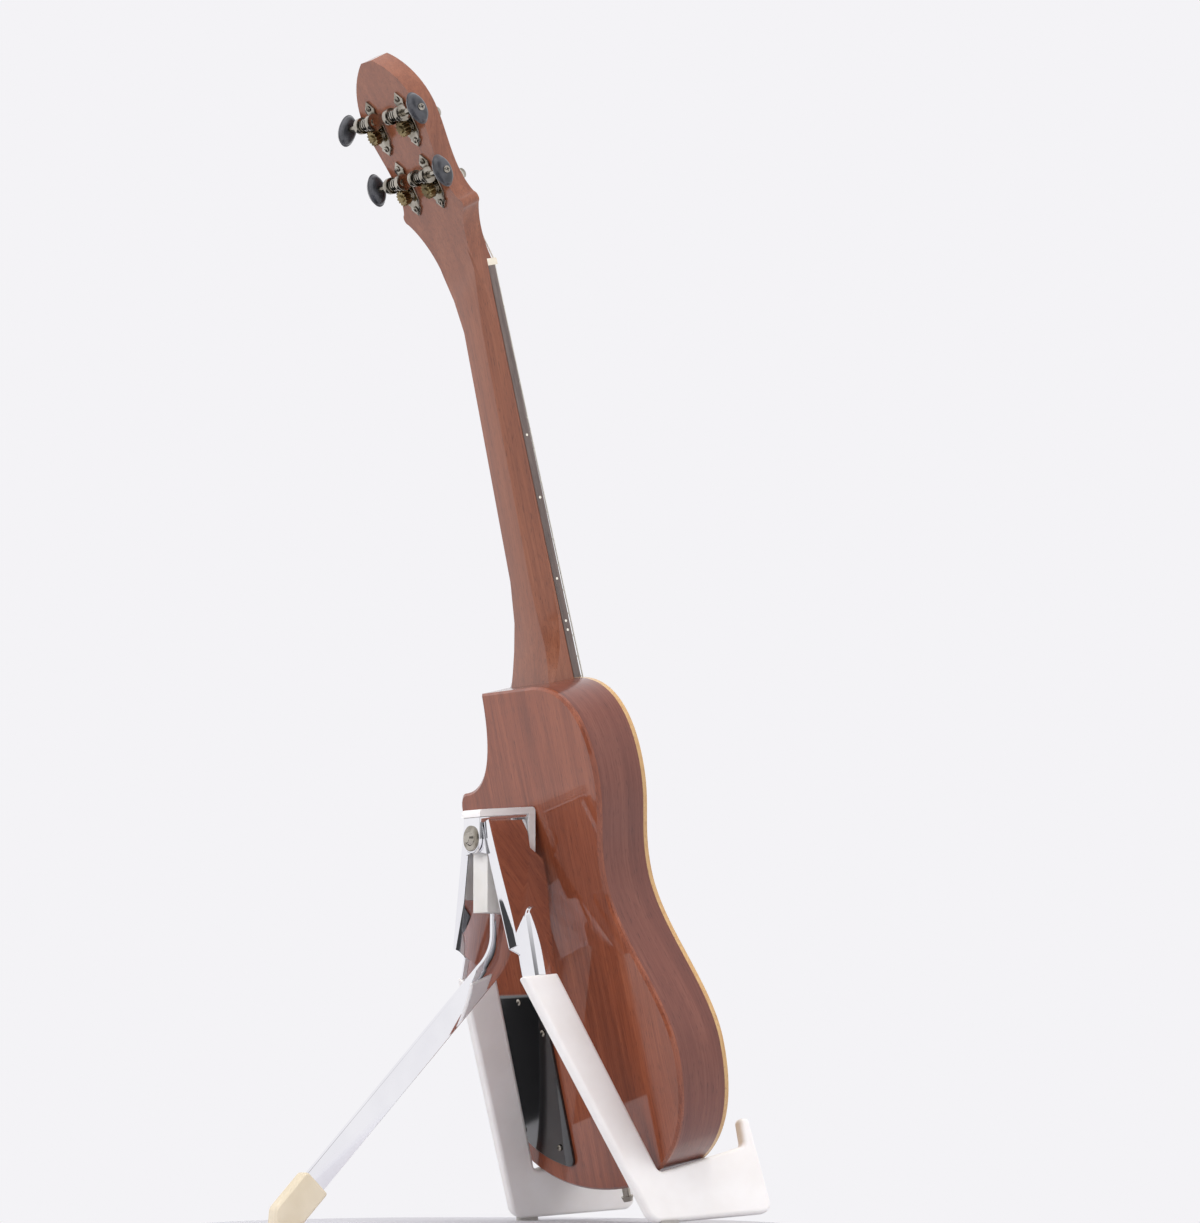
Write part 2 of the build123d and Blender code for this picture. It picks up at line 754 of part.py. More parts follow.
def side_plate(side, rear):
    """Pressed steel plate: web, rear flange with the pivot lug, and a stiffening bead."""
    plane = leg_plane(side)
    with BuildPart() as plate:
        with BuildSketch(plane):
            with BuildLine():
                FilletPolyline((rear, web_top), (rear - rear_taper, up_plate(flange_bottom)),
                               (sleeve_rear - 1.2, up_plate(flange_bottom) - 3),
                               (sleeve_rear - 1.2, sleeve_top), (sleeve_rear - 6, sleeve_top - tongue),
                               (16.8, sleeve_top - tongue), (19.4, sleeve_top + 1),
                               (plate_front_low, up_plate(rivet_height - 27.3)),
                               (plate_front_low, up_plate(rivet_height - 11.3)),
                               (plate_front_high, up_plate(rivet_height - 5.0)),
                               (plate_front_high, web_top + top_rise), radius=1.2, close=True)
            make_face()
        extrude(amount=sheet / 2, both=True)
        with BuildSketch(plane.offset(side * sheet / 2)):
            with Locations((bead_y, sleeve_top + 18)):
                SlotOverall(48, bead_width, rotation=90)
        extrude(amount=side * bead_height, taper=38)
        # the bead fades out before it enters the sleeve
        with BuildSketch(plane.offset(side * sheet / 2)):
            with Locations((bead_y, sleeve_top + 1)):
                Rectangle(20, 20, align=(Align.CENTER, Align.MAX))
        extrude(amount=side * 2 * bead_height, mode=Mode.SUBTRACT)
        # rear flange, bent outwards along the leaning rear edge
        with BuildSketch(plane):
            low = up_plate(flange_bottom)
            Polygon((rear, web_top - 1), (rear - sheet, web_top - 1), (rear - sheet - rear_taper, low),
                    (rear - rear_taper, low), align=None)
        extrude(amount=side * (sheet / 2 + flange_depth))
        # lug bent inwards around the rivet
        with BuildSketch(Plane.XZ.offset(-rear)):
            top = leg_base + web_top * c_splay
            with Locations((0, rivet_height)):
                Circle(rivet_radius + 4)
            Polygon((plate_x(side, rivet_height - 9), rivet_height - 9), (0, rivet_height - rivet_radius - 4),
                    (0, rivet_height + rivet_radius + 4), (plate_x(side, top), top), align=None)
            with Locations((0, rivet_height)):
                Circle(rivet_radius + running_fit, mode=Mode.SUBTRACT)
        extrude(amount=sheet)
    return plate.part


right_rear = tab_rear - bracket_sheet - seat_gap
left_rear = right_rear - sheet - seat_gap
right_plate = side_plate(-1, right_rear)
left_plate = side_plate(1, left_rear)
save(right_plate, "right_plate")
save(left_plate, "left_plate")


def sleeve(side, plate):
    """Rubber-covered leg, arm and horn in one L, pushed over the plate's tongue."""
    plane = leg_plane(side)
    with BuildPart() as cover:
        with BuildSketch(plane):
            with BuildLine():
                FilletPolyline((sleeve_rear, sleeve_top), (18.6, sleeve_top + 2.0), arm_notch,
                               (horn_rear, arm_top(horn_rear)), (horn_rear, horn_top),
                               (horn_rear - 6.4, horn_top), (arm_front, 5.0), (-19.5, 0),
                               radius=[0.8, 0.8, 4.0, 3.0, 2.9, 2.9, 6.0, 9.0], close=True)
            make_face()
        extrude(amount=sleeve_thickness / 2, both=True)
        flat_ends = cover.faces().filter_by(Plane(origin=(0, 0, 0), z_dir=plane.z_dir))
        fillet(flat_ends.edges(), sleeve_edge)
        add(plate, mode=Mode.SUBTRACT)
    return cover.part


right_sleeve = sleeve(-1, right_plate)
left_sleeve = sleeve(1, left_plate)
save(right_sleeve, "right_leg_sleeve")
save(left_sleeve, "left_leg_sleeve")


def leg_foot(side, cover):
    """Small floor pad under the rear corner of the sleeve."""
    with BuildPart() as pad:
        with BuildSketch(Plane.XY):
            with Locations((side * (foot_half + 0.4), -30.5)):
                RectangleRounded(7.0, 12.0, 1.5)
        extrude(amount=pad_height + 2.4)
        add(cover, mode=Mode.SUBTRACT)
    return pad.part


save(leg_foot(-1, right_sleeve), "right_foot_pad")
save(leg_foot(1, left_sleeve), "left_foot_pad")

# ---------------------------------------------------------------- stand: head
cushion_top = bracket_top + cushion_thickness


def back_y(z):
    """Y of the instrument's back face at a height above the floor."""
    return joint.Y + (z - joint.Z + body_depth * s_lean) * s_lean / c_lean + body_depth * c_lean


# The head touches the instrument only with its upper front edge; its front wall stands upright.
cushion_front = back_y(cushion_top + cushion_rise) + seat_gap - cushion_round * (c_lean + s_lean - 1)
wall_front = cushion_front + cushion_thickness
cushion_half = tab_half + 1.0
wall_half = 5.0

with BuildPart() as head_bracket:
    with BuildSketch(Plane.XZ.offset(-tab_rear)):
        with Locations((0, rivet_height)):
            Circle(tab_half)
        with Locations((0, rivet_height)):
            Rectangle(2 * tab_half, bracket_top - rivet_height, align=(Align.CENTER, Align.MIN))
        with Locations((0, rivet_height)):
            Circle(rivet_radius, mode=Mode.SUBTRACT)
    extrude(amount=bracket_sheet)
    with BuildSketch(Plane.YZ):
        Polygon((tab_rear, bracket_top), (tab_rear, bracket_top - bracket_sheet),
                (wall_front, bracket_top + cushion_rise - bracket_sheet),
                (wall_front, bracket_top + cushion_rise), align=None)
    extrude(amount=tab_half, both=True)
    with BuildSketch(Plane.XZ.offset(-wall_front)):
        Polygon((-wall_half, cushion_bottom + 1), (wall_half, cushion_bottom + 1), (wall_half, bracket_top),
                (-wall_half, bracket_top), align=None)
    extrude(amount=-bracket_sheet)
save(head_bracket.part, "head_bracket")

with BuildPart() as head_cushion:
    with BuildSketch(Plane.YZ):
        Polygon((tab_rear + 0.5, bracket_top), (tab_rear + 0.5, cushion_top),
                (cushion_front, cushion_top + cushion_rise), (cushion_front, cushion_bottom),
                (wall_front, cushion_bottom), (wall_front, bracket_top + cushion_rise), align=None)
    extrude(amount=cushion_half, both=True)
    long_edges = head_cushion.edges().filter_by(Axis.X).sort_by(Axis.Z)
    fillet(long_edges[-2:], cushion_round)
save(head_cushion.part, "head_cushion")

with BuildPart() as head_rivet:
    with BuildSketch(Plane.XZ.offset(-tab_rear)):
        with Locations((0, rivet_height)):
            Circle(washer_radius)
    extrude(amount=-washer_thickness)
    with BuildSketch(Plane.XZ.offset(-tab_rear - washer_thickness)):
        with Locations((0, rivet_height)):
            Circle(rivet_dome_radius)
    extrude(amount=-2.4, taper=28)
    with BuildSketch(Plane.XZ.offset(-tab_rear)):
        with Locations((0, rivet_height)):
            Circle(rivet_radius)
    extrude(amount=tab_rear - left_rear + sheet + seat_gap)
    with BuildSketch(Plane.XZ.offset(-left_rear + sheet + seat_gap)):
        with Locations((0, rivet_height)):
            Circle(rivet_radius + 1.4)
    extrude(amount=1.4)
save(head_rivet.part, "head_rivet")

# Nylon block: a narrow neck up to the bracket, a body below with a slot for the rear bar. The
# slot's rear wall stops the bar when it is folded out.
slot_rear = bar_axis_y + bar_width / 2 + seat_gap
slot_room = bar_width / 2 + 0.8
with BuildPart() as hinge_block:
    with BuildSketch(Plane.YZ):
        Polygon((block_front, block_bottom), (block_rear, block_bottom), (block_rear, block_top),
                (block_front, block_top), align=None)
    extrude(amount=block_half, both=True)
    with BuildSketch(Plane.YZ):
        Polygon((block_front + 1, block_top), (block_rear - 6, block_top),
                (block_rear - 6, bracket_top - bracket_sheet), (block_front + 1, bracket_top - bracket_sheet),
                align=None)
    extrude(amount=3.6, both=True)
    with BuildSketch(Plane.YZ):
        Polygon((block_front - 5, block_bottom - 5), (slot_rear, block_bottom - 5),
                (slot_rear, bar_pivot_z + slot_room), (block_front - 5, bar_pivot_z + slot_room), align=None)
    extrude(amount=bar_thickness / 2 + seat_gap, both=True, mode=Mode.SUBTRACT)
    with BuildSketch(Plane.YZ):
        with Locations((bar_axis_y, bar_pivot_z)):
            Circle(pivot_pin_radius)
    extrude(amount=2 * block_half, both=True, mode=Mode.SUBTRACT)
save(hinge_block.part, "hinge_block")

with BuildPart() as hinge_pin:
    with BuildSketch(Plane.YZ):
        with Locations((bar_axis_y, bar_pivot_z)):
            Circle(pivot_pin_radius)
    extrude(amount=block_half, both=True)
save(hinge_pin.part, "hinge_pin")

# ---------------------------------------------------------------- stand: rear leg
run = Vector(0, cos(radians(bar_slope)), -sin(radians(bar_slope)))
across = Vector(0, sin(radians(bar_slope)), cos(radians(bar_slope)))
bend = Vector(0, bar_axis_y, bar_bend_z)
foot_mid = bend + run * ((rear_foot_y - bar_axis_y) / run.Y)
bar_end = foot_mid + run * bar_in_foot


def in_side_view(point):
    """Local coordinates on the YZ plane."""
    return (point.Y, point.Z)


with BuildPart() as rear_bar:
    with BuildSketch(Plane.YZ):
        with BuildLine() as centre_line:
            FilletPolyline((bar_axis_y, bar_pivot_z), in_side_view(bend), in_side_view(bar_end),
                           radius=bar_bend_radius)
        trace(centre_line.line, line_width=bar_width)
        with Locations((bar_axis_y, bar_pivot_z)):
            Circle(bar_width / 2)
            Circle(pivot_pin_radius + running_fit, mode=Mode.SUBTRACT)
    extrude(amount=bar_thickness / 2, both=True)
save(rear_bar.part, "rear_bar")

foot_half_width = rear_foot_width / 2
foot_upper = foot_mid + across * foot_half_width
foot_lower = foot_mid - across * foot_half_width
foot_tip = foot_upper + run * rear_foot_length
floor_start = foot_lower + run * (foot_lower.Z / -run.Z)
with BuildPart() as rear_foot:
    with BuildSketch(Plane.YZ):
        with BuildLine():
            FilletPolyline(in_side_view(foot_lower), in_side_view(foot_upper), in_side_view(foot_tip),
                           (foot_tip.Y + 1.0, 0), in_side_view(floor_start),
                           radius=[1.5, 3.0, 6.0, 2.0, 2.0], close=True)
        make_face()
    extrude(amount=rear_foot_thickness / 2, both=True)
    cap_ends = rear_foot.faces().filter_by(Plane.YZ)
    chamfer(cap_ends.edges(), 1.3)
    add(rear_bar.part, mode=Mode.SUBTRACT)
save(rear_foot.part, "rear_foot")

for name, volume in written:
    print(name, round(volume, 1))
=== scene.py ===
"""A cutaway tenor ukulele on a small folding stand, dressed and lit in a pale studio."""
import json
import logging
import math
from dataclasses import dataclass, field
from enum import Enum

import bpy
from mathutils import Matrix, Vector


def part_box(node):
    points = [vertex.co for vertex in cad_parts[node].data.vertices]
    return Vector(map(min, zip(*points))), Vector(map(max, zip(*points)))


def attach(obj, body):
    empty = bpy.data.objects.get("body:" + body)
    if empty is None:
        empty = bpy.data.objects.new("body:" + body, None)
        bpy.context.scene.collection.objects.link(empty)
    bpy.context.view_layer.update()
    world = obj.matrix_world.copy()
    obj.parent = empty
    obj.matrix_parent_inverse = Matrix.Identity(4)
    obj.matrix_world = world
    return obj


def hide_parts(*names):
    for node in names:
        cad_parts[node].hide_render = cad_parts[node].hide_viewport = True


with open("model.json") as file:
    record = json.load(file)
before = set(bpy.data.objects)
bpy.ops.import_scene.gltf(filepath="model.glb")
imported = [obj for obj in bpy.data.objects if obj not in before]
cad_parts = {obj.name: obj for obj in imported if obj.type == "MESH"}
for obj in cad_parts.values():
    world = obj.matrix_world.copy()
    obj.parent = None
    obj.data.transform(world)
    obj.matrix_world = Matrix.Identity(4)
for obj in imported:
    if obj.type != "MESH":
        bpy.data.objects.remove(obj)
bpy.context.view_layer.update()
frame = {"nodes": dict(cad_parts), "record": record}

log = logging.getLogger("ukulele")
MM = 0.001
WELD_MM = 0.0005    # points of a modelled piece nearer than this are one
SLOTS = {row["node"]: row["material_slot"] for row in frame["record"]["subparts"]}
BODIES = {node: body for body, nodes in frame["record"]["behaviour"]["bodies"].items()
          for node in nodes}


class Gloss(Enum):
    """How a surface was finished."""

    RAW = "raw"
    SATIN = "satin"
    LACQUER = "lacquer"


class Grain(Enum):
    """Which way the fibres of a wooden piece run."""

    UP = "up the instrument"
    ROUND = "round the bent rim"


# ------------------------------------------------------------------ small helpers


def linear(hex_colour: str) -> tuple[float, float, float, float]:
    """Turn an sRGB hex colour into linear values.

    Args:
        hex_colour: Six hex digits with a leading #.

    Returns:
        Red, green, blue and alpha, each from 0 to 1.
    """
    parts = [int(hex_colour[i:i + 2], 16) / 255 for i in (1, 3, 5)]
    rgb = (c / 12.92 if c <= 0.04045 else ((c + 0.055) / 1.055) ** 2.4 for c in parts)
    return (*rgb, 1.0)


def add_node(tree: bpy.types.NodeTree, kind: str, settings: dict | None = None,
             inputs: dict | None = None) -> bpy.types.Node:
    """Add one node, set it and link it.

    Args:
        tree: The node tree.
        kind: The node's type name.
        settings: Attributes to set on the node.
        inputs: Socket name or number, to a value or to the output socket that feeds it.

    Returns:
        The new node.
    """
    node = tree.nodes.new(kind)
    for name, value in (settings or {}).items():
        setattr(node, name, value)
    for name, value in (inputs or {}).items():
        if isinstance(value, bpy.types.NodeSocket):
            tree.links.new(value, node.inputs[name])
        else:
            node.inputs[name].default_value = value
    return node


def new_material(name: str) -> tuple[bpy.types.Material, bpy.types.NodeTree, bpy.types.Node]:
    """Make an empty material with a Principled shader.

    Args:
        name: The material's name.

    Returns:
        The material, its tree and its shader.
    """
    material = bpy.data.materials.new(name)
    material.use_nodes = True
    tree = material.node_tree
    tree.nodes.clear()
    shader = add_node(tree, "ShaderNodeBsdfPrincipled")
    add_node(tree, "ShaderNodeOutputMaterial", inputs={"Surface": shader.outputs["BSDF"]})
    return material, tree, shader


def ramp(tree: bpy.types.NodeTree, factor: bpy.types.NodeSocket,
         stops: list[tuple[float, str]]) -> bpy.types.Node:
    """Add a colour ramp.

    Args:
        tree: The node tree.
        factor: What drives the ramp.
        stops: Positions with their sRGB hex colours, from low to high.

    Returns:
        The ramp node.
    """
    node = add_node(tree, "ShaderNodeValToRGB", inputs={"Fac": factor})
    elements = node.color_ramp.elements
    while len(elements) < len(stops):
        elements.new(0.5)
    for element, (place, colour) in zip(elements, stops):
        element.position = place
        element.color = linear(colour)
    return node


def deselect() -> None:
    """Leave nothing selected."""
    bpy.ops.object.select_all(action="DESELECT")


def activate(piece: bpy.types.Object) -> None:
    """Make one piece the only selected and active one.

    Args:
        piece: The piece to work on next.
    """
    deselect()
    piece.select_set(True)
    bpy.context.view_layer.objects.active = piece


def settle(piece: bpy.types.Object) -> bpy.types.Object:
    """Put a piece's place, turn and size into its mesh.

    Args:
        piece: The piece to settle.

    Returns:
        The same piece.
    """
    activate(piece)
    bpy.ops.object.transform_apply(location=True, rotation=True, scale=True)
    return piece


def dress(piece: bpy.types.Object, material: bpy.types.Material) -> None:
    """Give a piece one material all over.

    Args:
        piece: The piece.
        material: Its only material.
    """
    piece.data.materials.clear()
    piece.data.materials.append(material)


def frame_matrix(place: Vector, along: Vector, up: Vector) -> Matrix:
    """Matrix that takes local +Z to along and local +Y near up, at a place.

    Args:
        place: Where the local origin goes.
        along: Direction of local +Z.
        up: Direction close to local +Y.

    Returns:
        A rigid matrix in metres.
    """
    z = along.normalized()
    x = up.cross(z).normalized()
    y = z.cross(x)
    turn = Matrix((x, y, z)).transposed()
    return Matrix.Translation(place) @ turn.to_4x4()


def copy_of(model: bpy.types.Object, name: str, place: Matrix) -> bpy.types.Object:
    """Copy a modelled piece with its own mesh and settle it at a place.

    Args:
        model: The piece that was modelled at the origin.
        name: The copy's name.
        place: Matrix that takes the model to its place.

    Returns:
        The copy, its place in its mesh.
    """
    copy = model.copy()
    copy.data = model.data.copy()
    copy.name = name
    bpy.context.collection.objects.link(copy)
    copy.matrix_world = place
    return settle(copy)


def tidy_normals(piece: bpy.types.Object) -> None:
    """Merge a piece's doubles and turn its faces outwards.

    Args:
        piece: A piece modelled in millimetres.
    """
    activate(piece)
    bpy.ops.object.mode_set(mode="EDIT")
    bpy.ops.mesh.select_all(action="SELECT")
    bpy.ops.mesh.remove_doubles(threshold=WELD_MM)
    bpy.ops.mesh.normals_make_consistent(inside=False)
    bpy.ops.object.mode_set(mode="OBJECT")


# ------------------------------------------------------------------ the instrument's own directions
@dataclass(frozen=True)
class Lean:
    """Directions of the leaning instrument and of its headstock, in degrees and metres."""

    body: float = 13.3
    head: float = 29.0

    def up(self, angle: float) -> Vector:
        """Direction up a face that leans back.

        Args:
            angle: Its lean in degrees.

        Returns:
            A unit vector.
        """
        return Vector((0, math.sin(math.radians(angle)), math.cos(math.radians(angle))))

    def back(self, angle: float) -> Vector:
        """Direction out of the back of a face that leans back.

        Args:
            angle: Its lean in degrees.

        Returns:
            A unit vector.
        """
        return Vector((0, math.cos(math.radians(angle)), -math.sin(math.radians(angle))))


LEAN = Lean()
JOINT = Vector((0, -40.7, 309.7)) * MM      # of neck and body, on the soundboard
SCALE_MM = 432.0
FRETS_CLEAR = 14
HEAD_BACK_MM = 8.3                          # back of the headstock below the board's underside


@dataclass(frozen=True)
class Tuner:
    """Where one machine head sits."""

    name: str
    side: int           # 1 on the treble side, -1 on the bass side
    across: float       # millimetres from the middle of the headstock
    up: float           # millimetres from the nut


TUNERS = tuple(Tuner(f"{row}_{label}", side, side * across, up)
               for row, across, up in (("lower", 13.3, 54.6), ("upper", 15.6, 92.4))
               for label, side in (("treble", 1), ("bass", -1)))


def on_body(x: float, y: float, z: float) -> Vector:
    """Find a point on the body.

    Args:
        x: Millimetres across.
        y: Millimetres up the neck from the joint.
        z: Millimetres out of the soundboard.

    Returns:
        The point in metres.
    """
    return JOINT + (Vector((x, 0, 0)) + LEAN.up(LEAN.body) * y - LEAN.back(LEAN.body) * z) * MM


def on_head(x: float, y: float, z: float) -> Vector:
    """Find a point on the headstock.

    Args:
        x: Millimetres across.
        y: Millimetres up the headstock from the nut.
        z: Millimetres out of its back face.

    Returns:
        The point in metres.
    """
    nut = SCALE_MM * (1 - 2 ** (-FRETS_CLEAR / 12))
    root = JOINT + (LEAN.up(LEAN.body) * nut + LEAN.back(LEAN.body) * HEAD_BACK_MM) * MM
    return root + (Vector((x, 0, 0)) + LEAN.up(LEAN.head) * y + LEAN.back(LEAN.head) * z) * MM


# ------------------------------------------------------------------ finishes
@dataclass(frozen=True)
class Varnish:
    """How a way of finishing wood takes the light."""

    rough: tuple[float, float]      # least and most roughness of the wood itself
    shine: float                    # of the wood under the coat
    coat: float
    pores: float                    # how strongly the pores dent the surface


VARNISHES = {
    Gloss.RAW: Varnish(rough=(0.6, 0.8), shine=0.5, coat=0.0, pores=0.1),
    Gloss.SATIN: Varnish(rough=(0.38, 0.5), shine=0.3, coat=1.0, pores=0.1),
    Gloss.LACQUER: Varnish(rough=(0.34, 0.46), shine=0.2, coat=1.0, pores=0.02),
}


@dataclass(frozen=True)
class Timber:
    """Quarter-sawn wood, in mahogany's colours where nothing else is said: ribbons a few
    millimetres wide of lighter and darker tone along the fibres, with short dark pores between.
    Lacquer gives it a clear wet gloss and satin varnish a soft sheen. Real pores are a tenth of a
    millimetre wide and are drawn wider, so that they show."""

    name: str
    deep: str = "#6C321B"
    middle: str = "#824127"
    light: str = "#935033"
    gloss: Gloss = Gloss.LACQUER
    grain: Grain = Grain.UP
    coat_roughness: float = 0.03
    ior: float = 1.5
    lean: float = LEAN.body
    ribbon_mm: float = 5.0
    fibre_mm: float = 0.8
    fibre_share: float = 0.5        # of the fine fibres in the tone, the rest being ribbons
    tone_stops: tuple[float, float, float] = (0.32, 0.5, 0.68)
    pore_mm: float = 0.45
    pore_stops: tuple[tuple[float, str], ...] = ((0.28, "#8A7468"), (0.38, "#FFFFFF"))
    pore_share: float = 0.6
    pore_depth_mm: float = 0.15

    def streaks(self, tree: bpy.types.NodeTree, turned: bpy.types.NodeSocket, width_mm: float,
                length: float, detail: float, warp: float) -> bpy.types.NodeSocket:
        """Noise drawn out along the fibres.

        Args:
            tree: The material's tree.
            turned: Coordinates across, through and up the instrument.
            width_mm: Width of one streak.
            length: How many times longer than wide it is.
            detail: Levels of finer noise.
            warp: How much the streaks wander.

        Returns:
            The noise, from 0 to 1.
        """
        wide = 1 / (width_mm * MM)
        drawn_out = wide / length
        scale = (wide if self.grain is Grain.UP else drawn_out, wide, drawn_out)
        drawn = add_node(tree, "ShaderNodeMapping", inputs={"Vector": turned, "Scale": scale})
        noise = add_node(tree, "ShaderNodeTexNoise", inputs={
            "Vector": drawn.outputs["Vector"], "Scale": 1.0, "Detail": detail, "Distortion": warp})
        return noise.outputs["Fac"]

    def build(self) -> bpy.types.Material:
        """Make the wood.

        Returns:
            The material.
        """
        varnish = VARNISHES[self.gloss]
        material, tree, shader = new_material(self.name)
        place = add_node(tree, "ShaderNodeTexCoord")
        mapping = add_node(tree, "ShaderNodeMapping", inputs={
            "Vector": place.outputs["Object"], "Rotation": (math.radians(self.lean), 0, 0)})
        turned = mapping.outputs["Vector"]
        ribbon = self.streaks(tree, turned, self.ribbon_mm, length=20, detail=2, warp=0.5)
        fibre = self.streaks(tree, turned, self.fibre_mm, length=45, detail=3, warp=0.1)
        pores = self.streaks(tree, turned, self.pore_mm, length=14, detail=1, warp=0.0)
        rest = add_node(tree, "ShaderNodeMath", {"operation": "MULTIPLY"},
                        {0: ribbon, 1: 1 - self.fibre_share})
        tone = add_node(tree, "ShaderNodeMath", {"operation": "MULTIPLY_ADD"},
                        {0: fibre, 1: self.fibre_share, 2: rest.outputs[0]})
        colour = ramp(tree, tone.outputs[0],
                      list(zip(self.tone_stops, (self.deep, self.middle, self.light))))
        dark = ramp(tree, pores, list(self.pore_stops))
        grained = add_node(tree, "ShaderNodeMix", {"data_type": "RGBA", "blend_type": "MULTIPLY"}, {
            0: self.pore_share, 6: colour.outputs["Color"], 7: dark.outputs["Color"]})
        tree.links.new(grained.outputs[2], shader.inputs["Base Color"])
        spread = add_node(tree, "ShaderNodeMapRange", inputs={
            "Value": fibre, "To Min": varnish.rough[0], "To Max": varnish.rough[1]})
        tree.links.new(spread.outputs["Result"], shader.inputs["Roughness"])
        bump = add_node(tree, "ShaderNodeBump", inputs={
            "Strength": varnish.pores, "Distance": self.pore_depth_mm * MM, "Height": pores})
        tree.links.new(bump.outputs["Normal"], shader.inputs["Normal"])
        shader.inputs["IOR"].default_value = self.ior
        shader.inputs["Specular IOR Level"].default_value = varnish.shine
        shader.inputs["Coat Weight"].default_value = varnish.coat
        shader.inputs["Coat Roughness"].default_value = self.coat_roughness
        return material


@dataclass(frozen=True)
class Moulded:
    """Moulded rubber or plastic: an even colour with a faint cloudiness, a fine leathery skin from
    the mould and a roughness that wanders a little where hands have polished it."""

    name: str
    colour: str
    shade: str
    roughness: float = 0.5
    wander: float = 0.15            # of the roughness, up and down, as a share of it
    skin_mm: float = 0.6
    skin_depth: float = 0.1
    skin_height_mm: float = 0.1
    coat: float = 0.0
    coat_roughness: float = 0.08
    soft: float = 0.0               # share of the light that goes under the surface
    scatter_mm: tuple[float, float, float] = (2.0, 1.6, 1.2)
    cloud_mm: float = 24.0
    cloud_stops: tuple[float, float] = (0.35, 0.65)

    def build(self) -> bpy.types.Material:
        """Make the moulded material.

        Returns:
            The material.
        """
        material, tree, shader = new_material(self.name)
        place = add_node(tree, "ShaderNodeTexCoord")
        cloud = add_node(tree, "ShaderNodeTexNoise", inputs={
            "Vector": place.outputs["Object"], "Scale": 1 / (self.cloud_mm * MM), "Detail": 3.0})
        tint = ramp(tree, cloud.outputs["Fac"],
                    list(zip(self.cloud_stops, (self.shade, self.colour))))
        tree.links.new(tint.outputs["Color"], shader.inputs["Base Color"])
        skin = add_node(tree, "ShaderNodeTexNoise", inputs={
            "Vector": place.outputs["Object"], "Scale": 1 / (self.skin_mm * MM), "Detail": 2.0})
        spread = add_node(tree, "ShaderNodeMapRange", inputs={
            "Value": cloud.outputs["Fac"], "To Min": self.roughness * (1 - self.wander),
            "To Max": self.roughness * (1 + self.wander)})
        tree.links.new(spread.outputs["Result"], shader.inputs["Roughness"])
        bump = add_node(tree, "ShaderNodeBump", inputs={
            "Strength": self.skin_depth, "Distance": self.skin_height_mm * MM,
            "Height": skin.outputs["Fac"]})
        tree.links.new(bump.outputs["Normal"], shader.inputs["Normal"])
        shader.inputs["Coat Weight"].default_value = self.coat
        shader.inputs["Coat Roughness"].default_value = self.coat_roughness
        shader.inputs["Subsurface Weight"].default_value = self.soft
        reach = tuple(step * MM for step in self.scatter_mm)
        shader.inputs["Subsurface Radius"].default_value = reach
        return material


@dataclass(frozen=True)
class Plated:
    """Plated or turned metal: bright, with hairlines from polishing and a breath of tarnish that
    dulls it unevenly."""

    name: str
    colour: str
    tarnish: str
    roughness: float = 0.12
    dulled: tuple[float, float] = (1.5, 0.7)    # shares of it where tarnished and where bright
    hairline_mm: float = 0.5
    hairline_length: float = 18.0               # how many times longer than wide
    hairline_depth: float = 0.03
    hairline_height_mm: float = 0.05
    patch_mm: float = 9.0
    patch_stops: tuple[float, float] = (0.36, 0.56)

    def build(self) -> bpy.types.Material:
        """Make the metal.

        Returns:
            The material.
        """
        material, tree, shader = new_material(self.name)
        place = add_node(tree, "ShaderNodeTexCoord")
        patch = add_node(tree, "ShaderNodeTexNoise", inputs={
            "Vector": place.outputs["Object"], "Scale": 1 / (self.patch_mm * MM), "Detail": 4.0})
        tint = ramp(tree, patch.outputs["Fac"],
                    list(zip(self.patch_stops, (self.tarnish, self.colour))))
        tree.links.new(tint.outputs["Color"], shader.inputs["Base Color"])
        fine = 1 / (self.hairline_mm * MM)
        drawn = add_node(tree, "ShaderNodeMapping", inputs={
            "Vector": place.outputs["Object"], "Scale": (fine, fine, fine / self.hairline_length)})
        lines = add_node(tree, "ShaderNodeTexNoise", inputs={
            "Vector": drawn.outputs["Vector"], "Scale": 1.0, "Detail": 2.0})
        spread = add_node(tree, "ShaderNodeMapRange", inputs={
            "Value": patch.outputs["Fac"], "To Min": self.roughness * self.dulled[0],
            "To Max": self.roughness * self.dulled[1]})
        tree.links.new(spread.outputs["Result"], shader.inputs["Roughness"])
        bump = add_node(tree, "ShaderNodeBump", inputs={
            "Strength": self.hairline_depth, "Distance": self.hairline_height_mm * MM,
            "Height": lines.outputs["Fac"]})
        tree.links.new(bump.outputs["Normal"], shader.inputs["Normal"])
        shader.inputs["Metallic"].default_value = 1.0
        return material


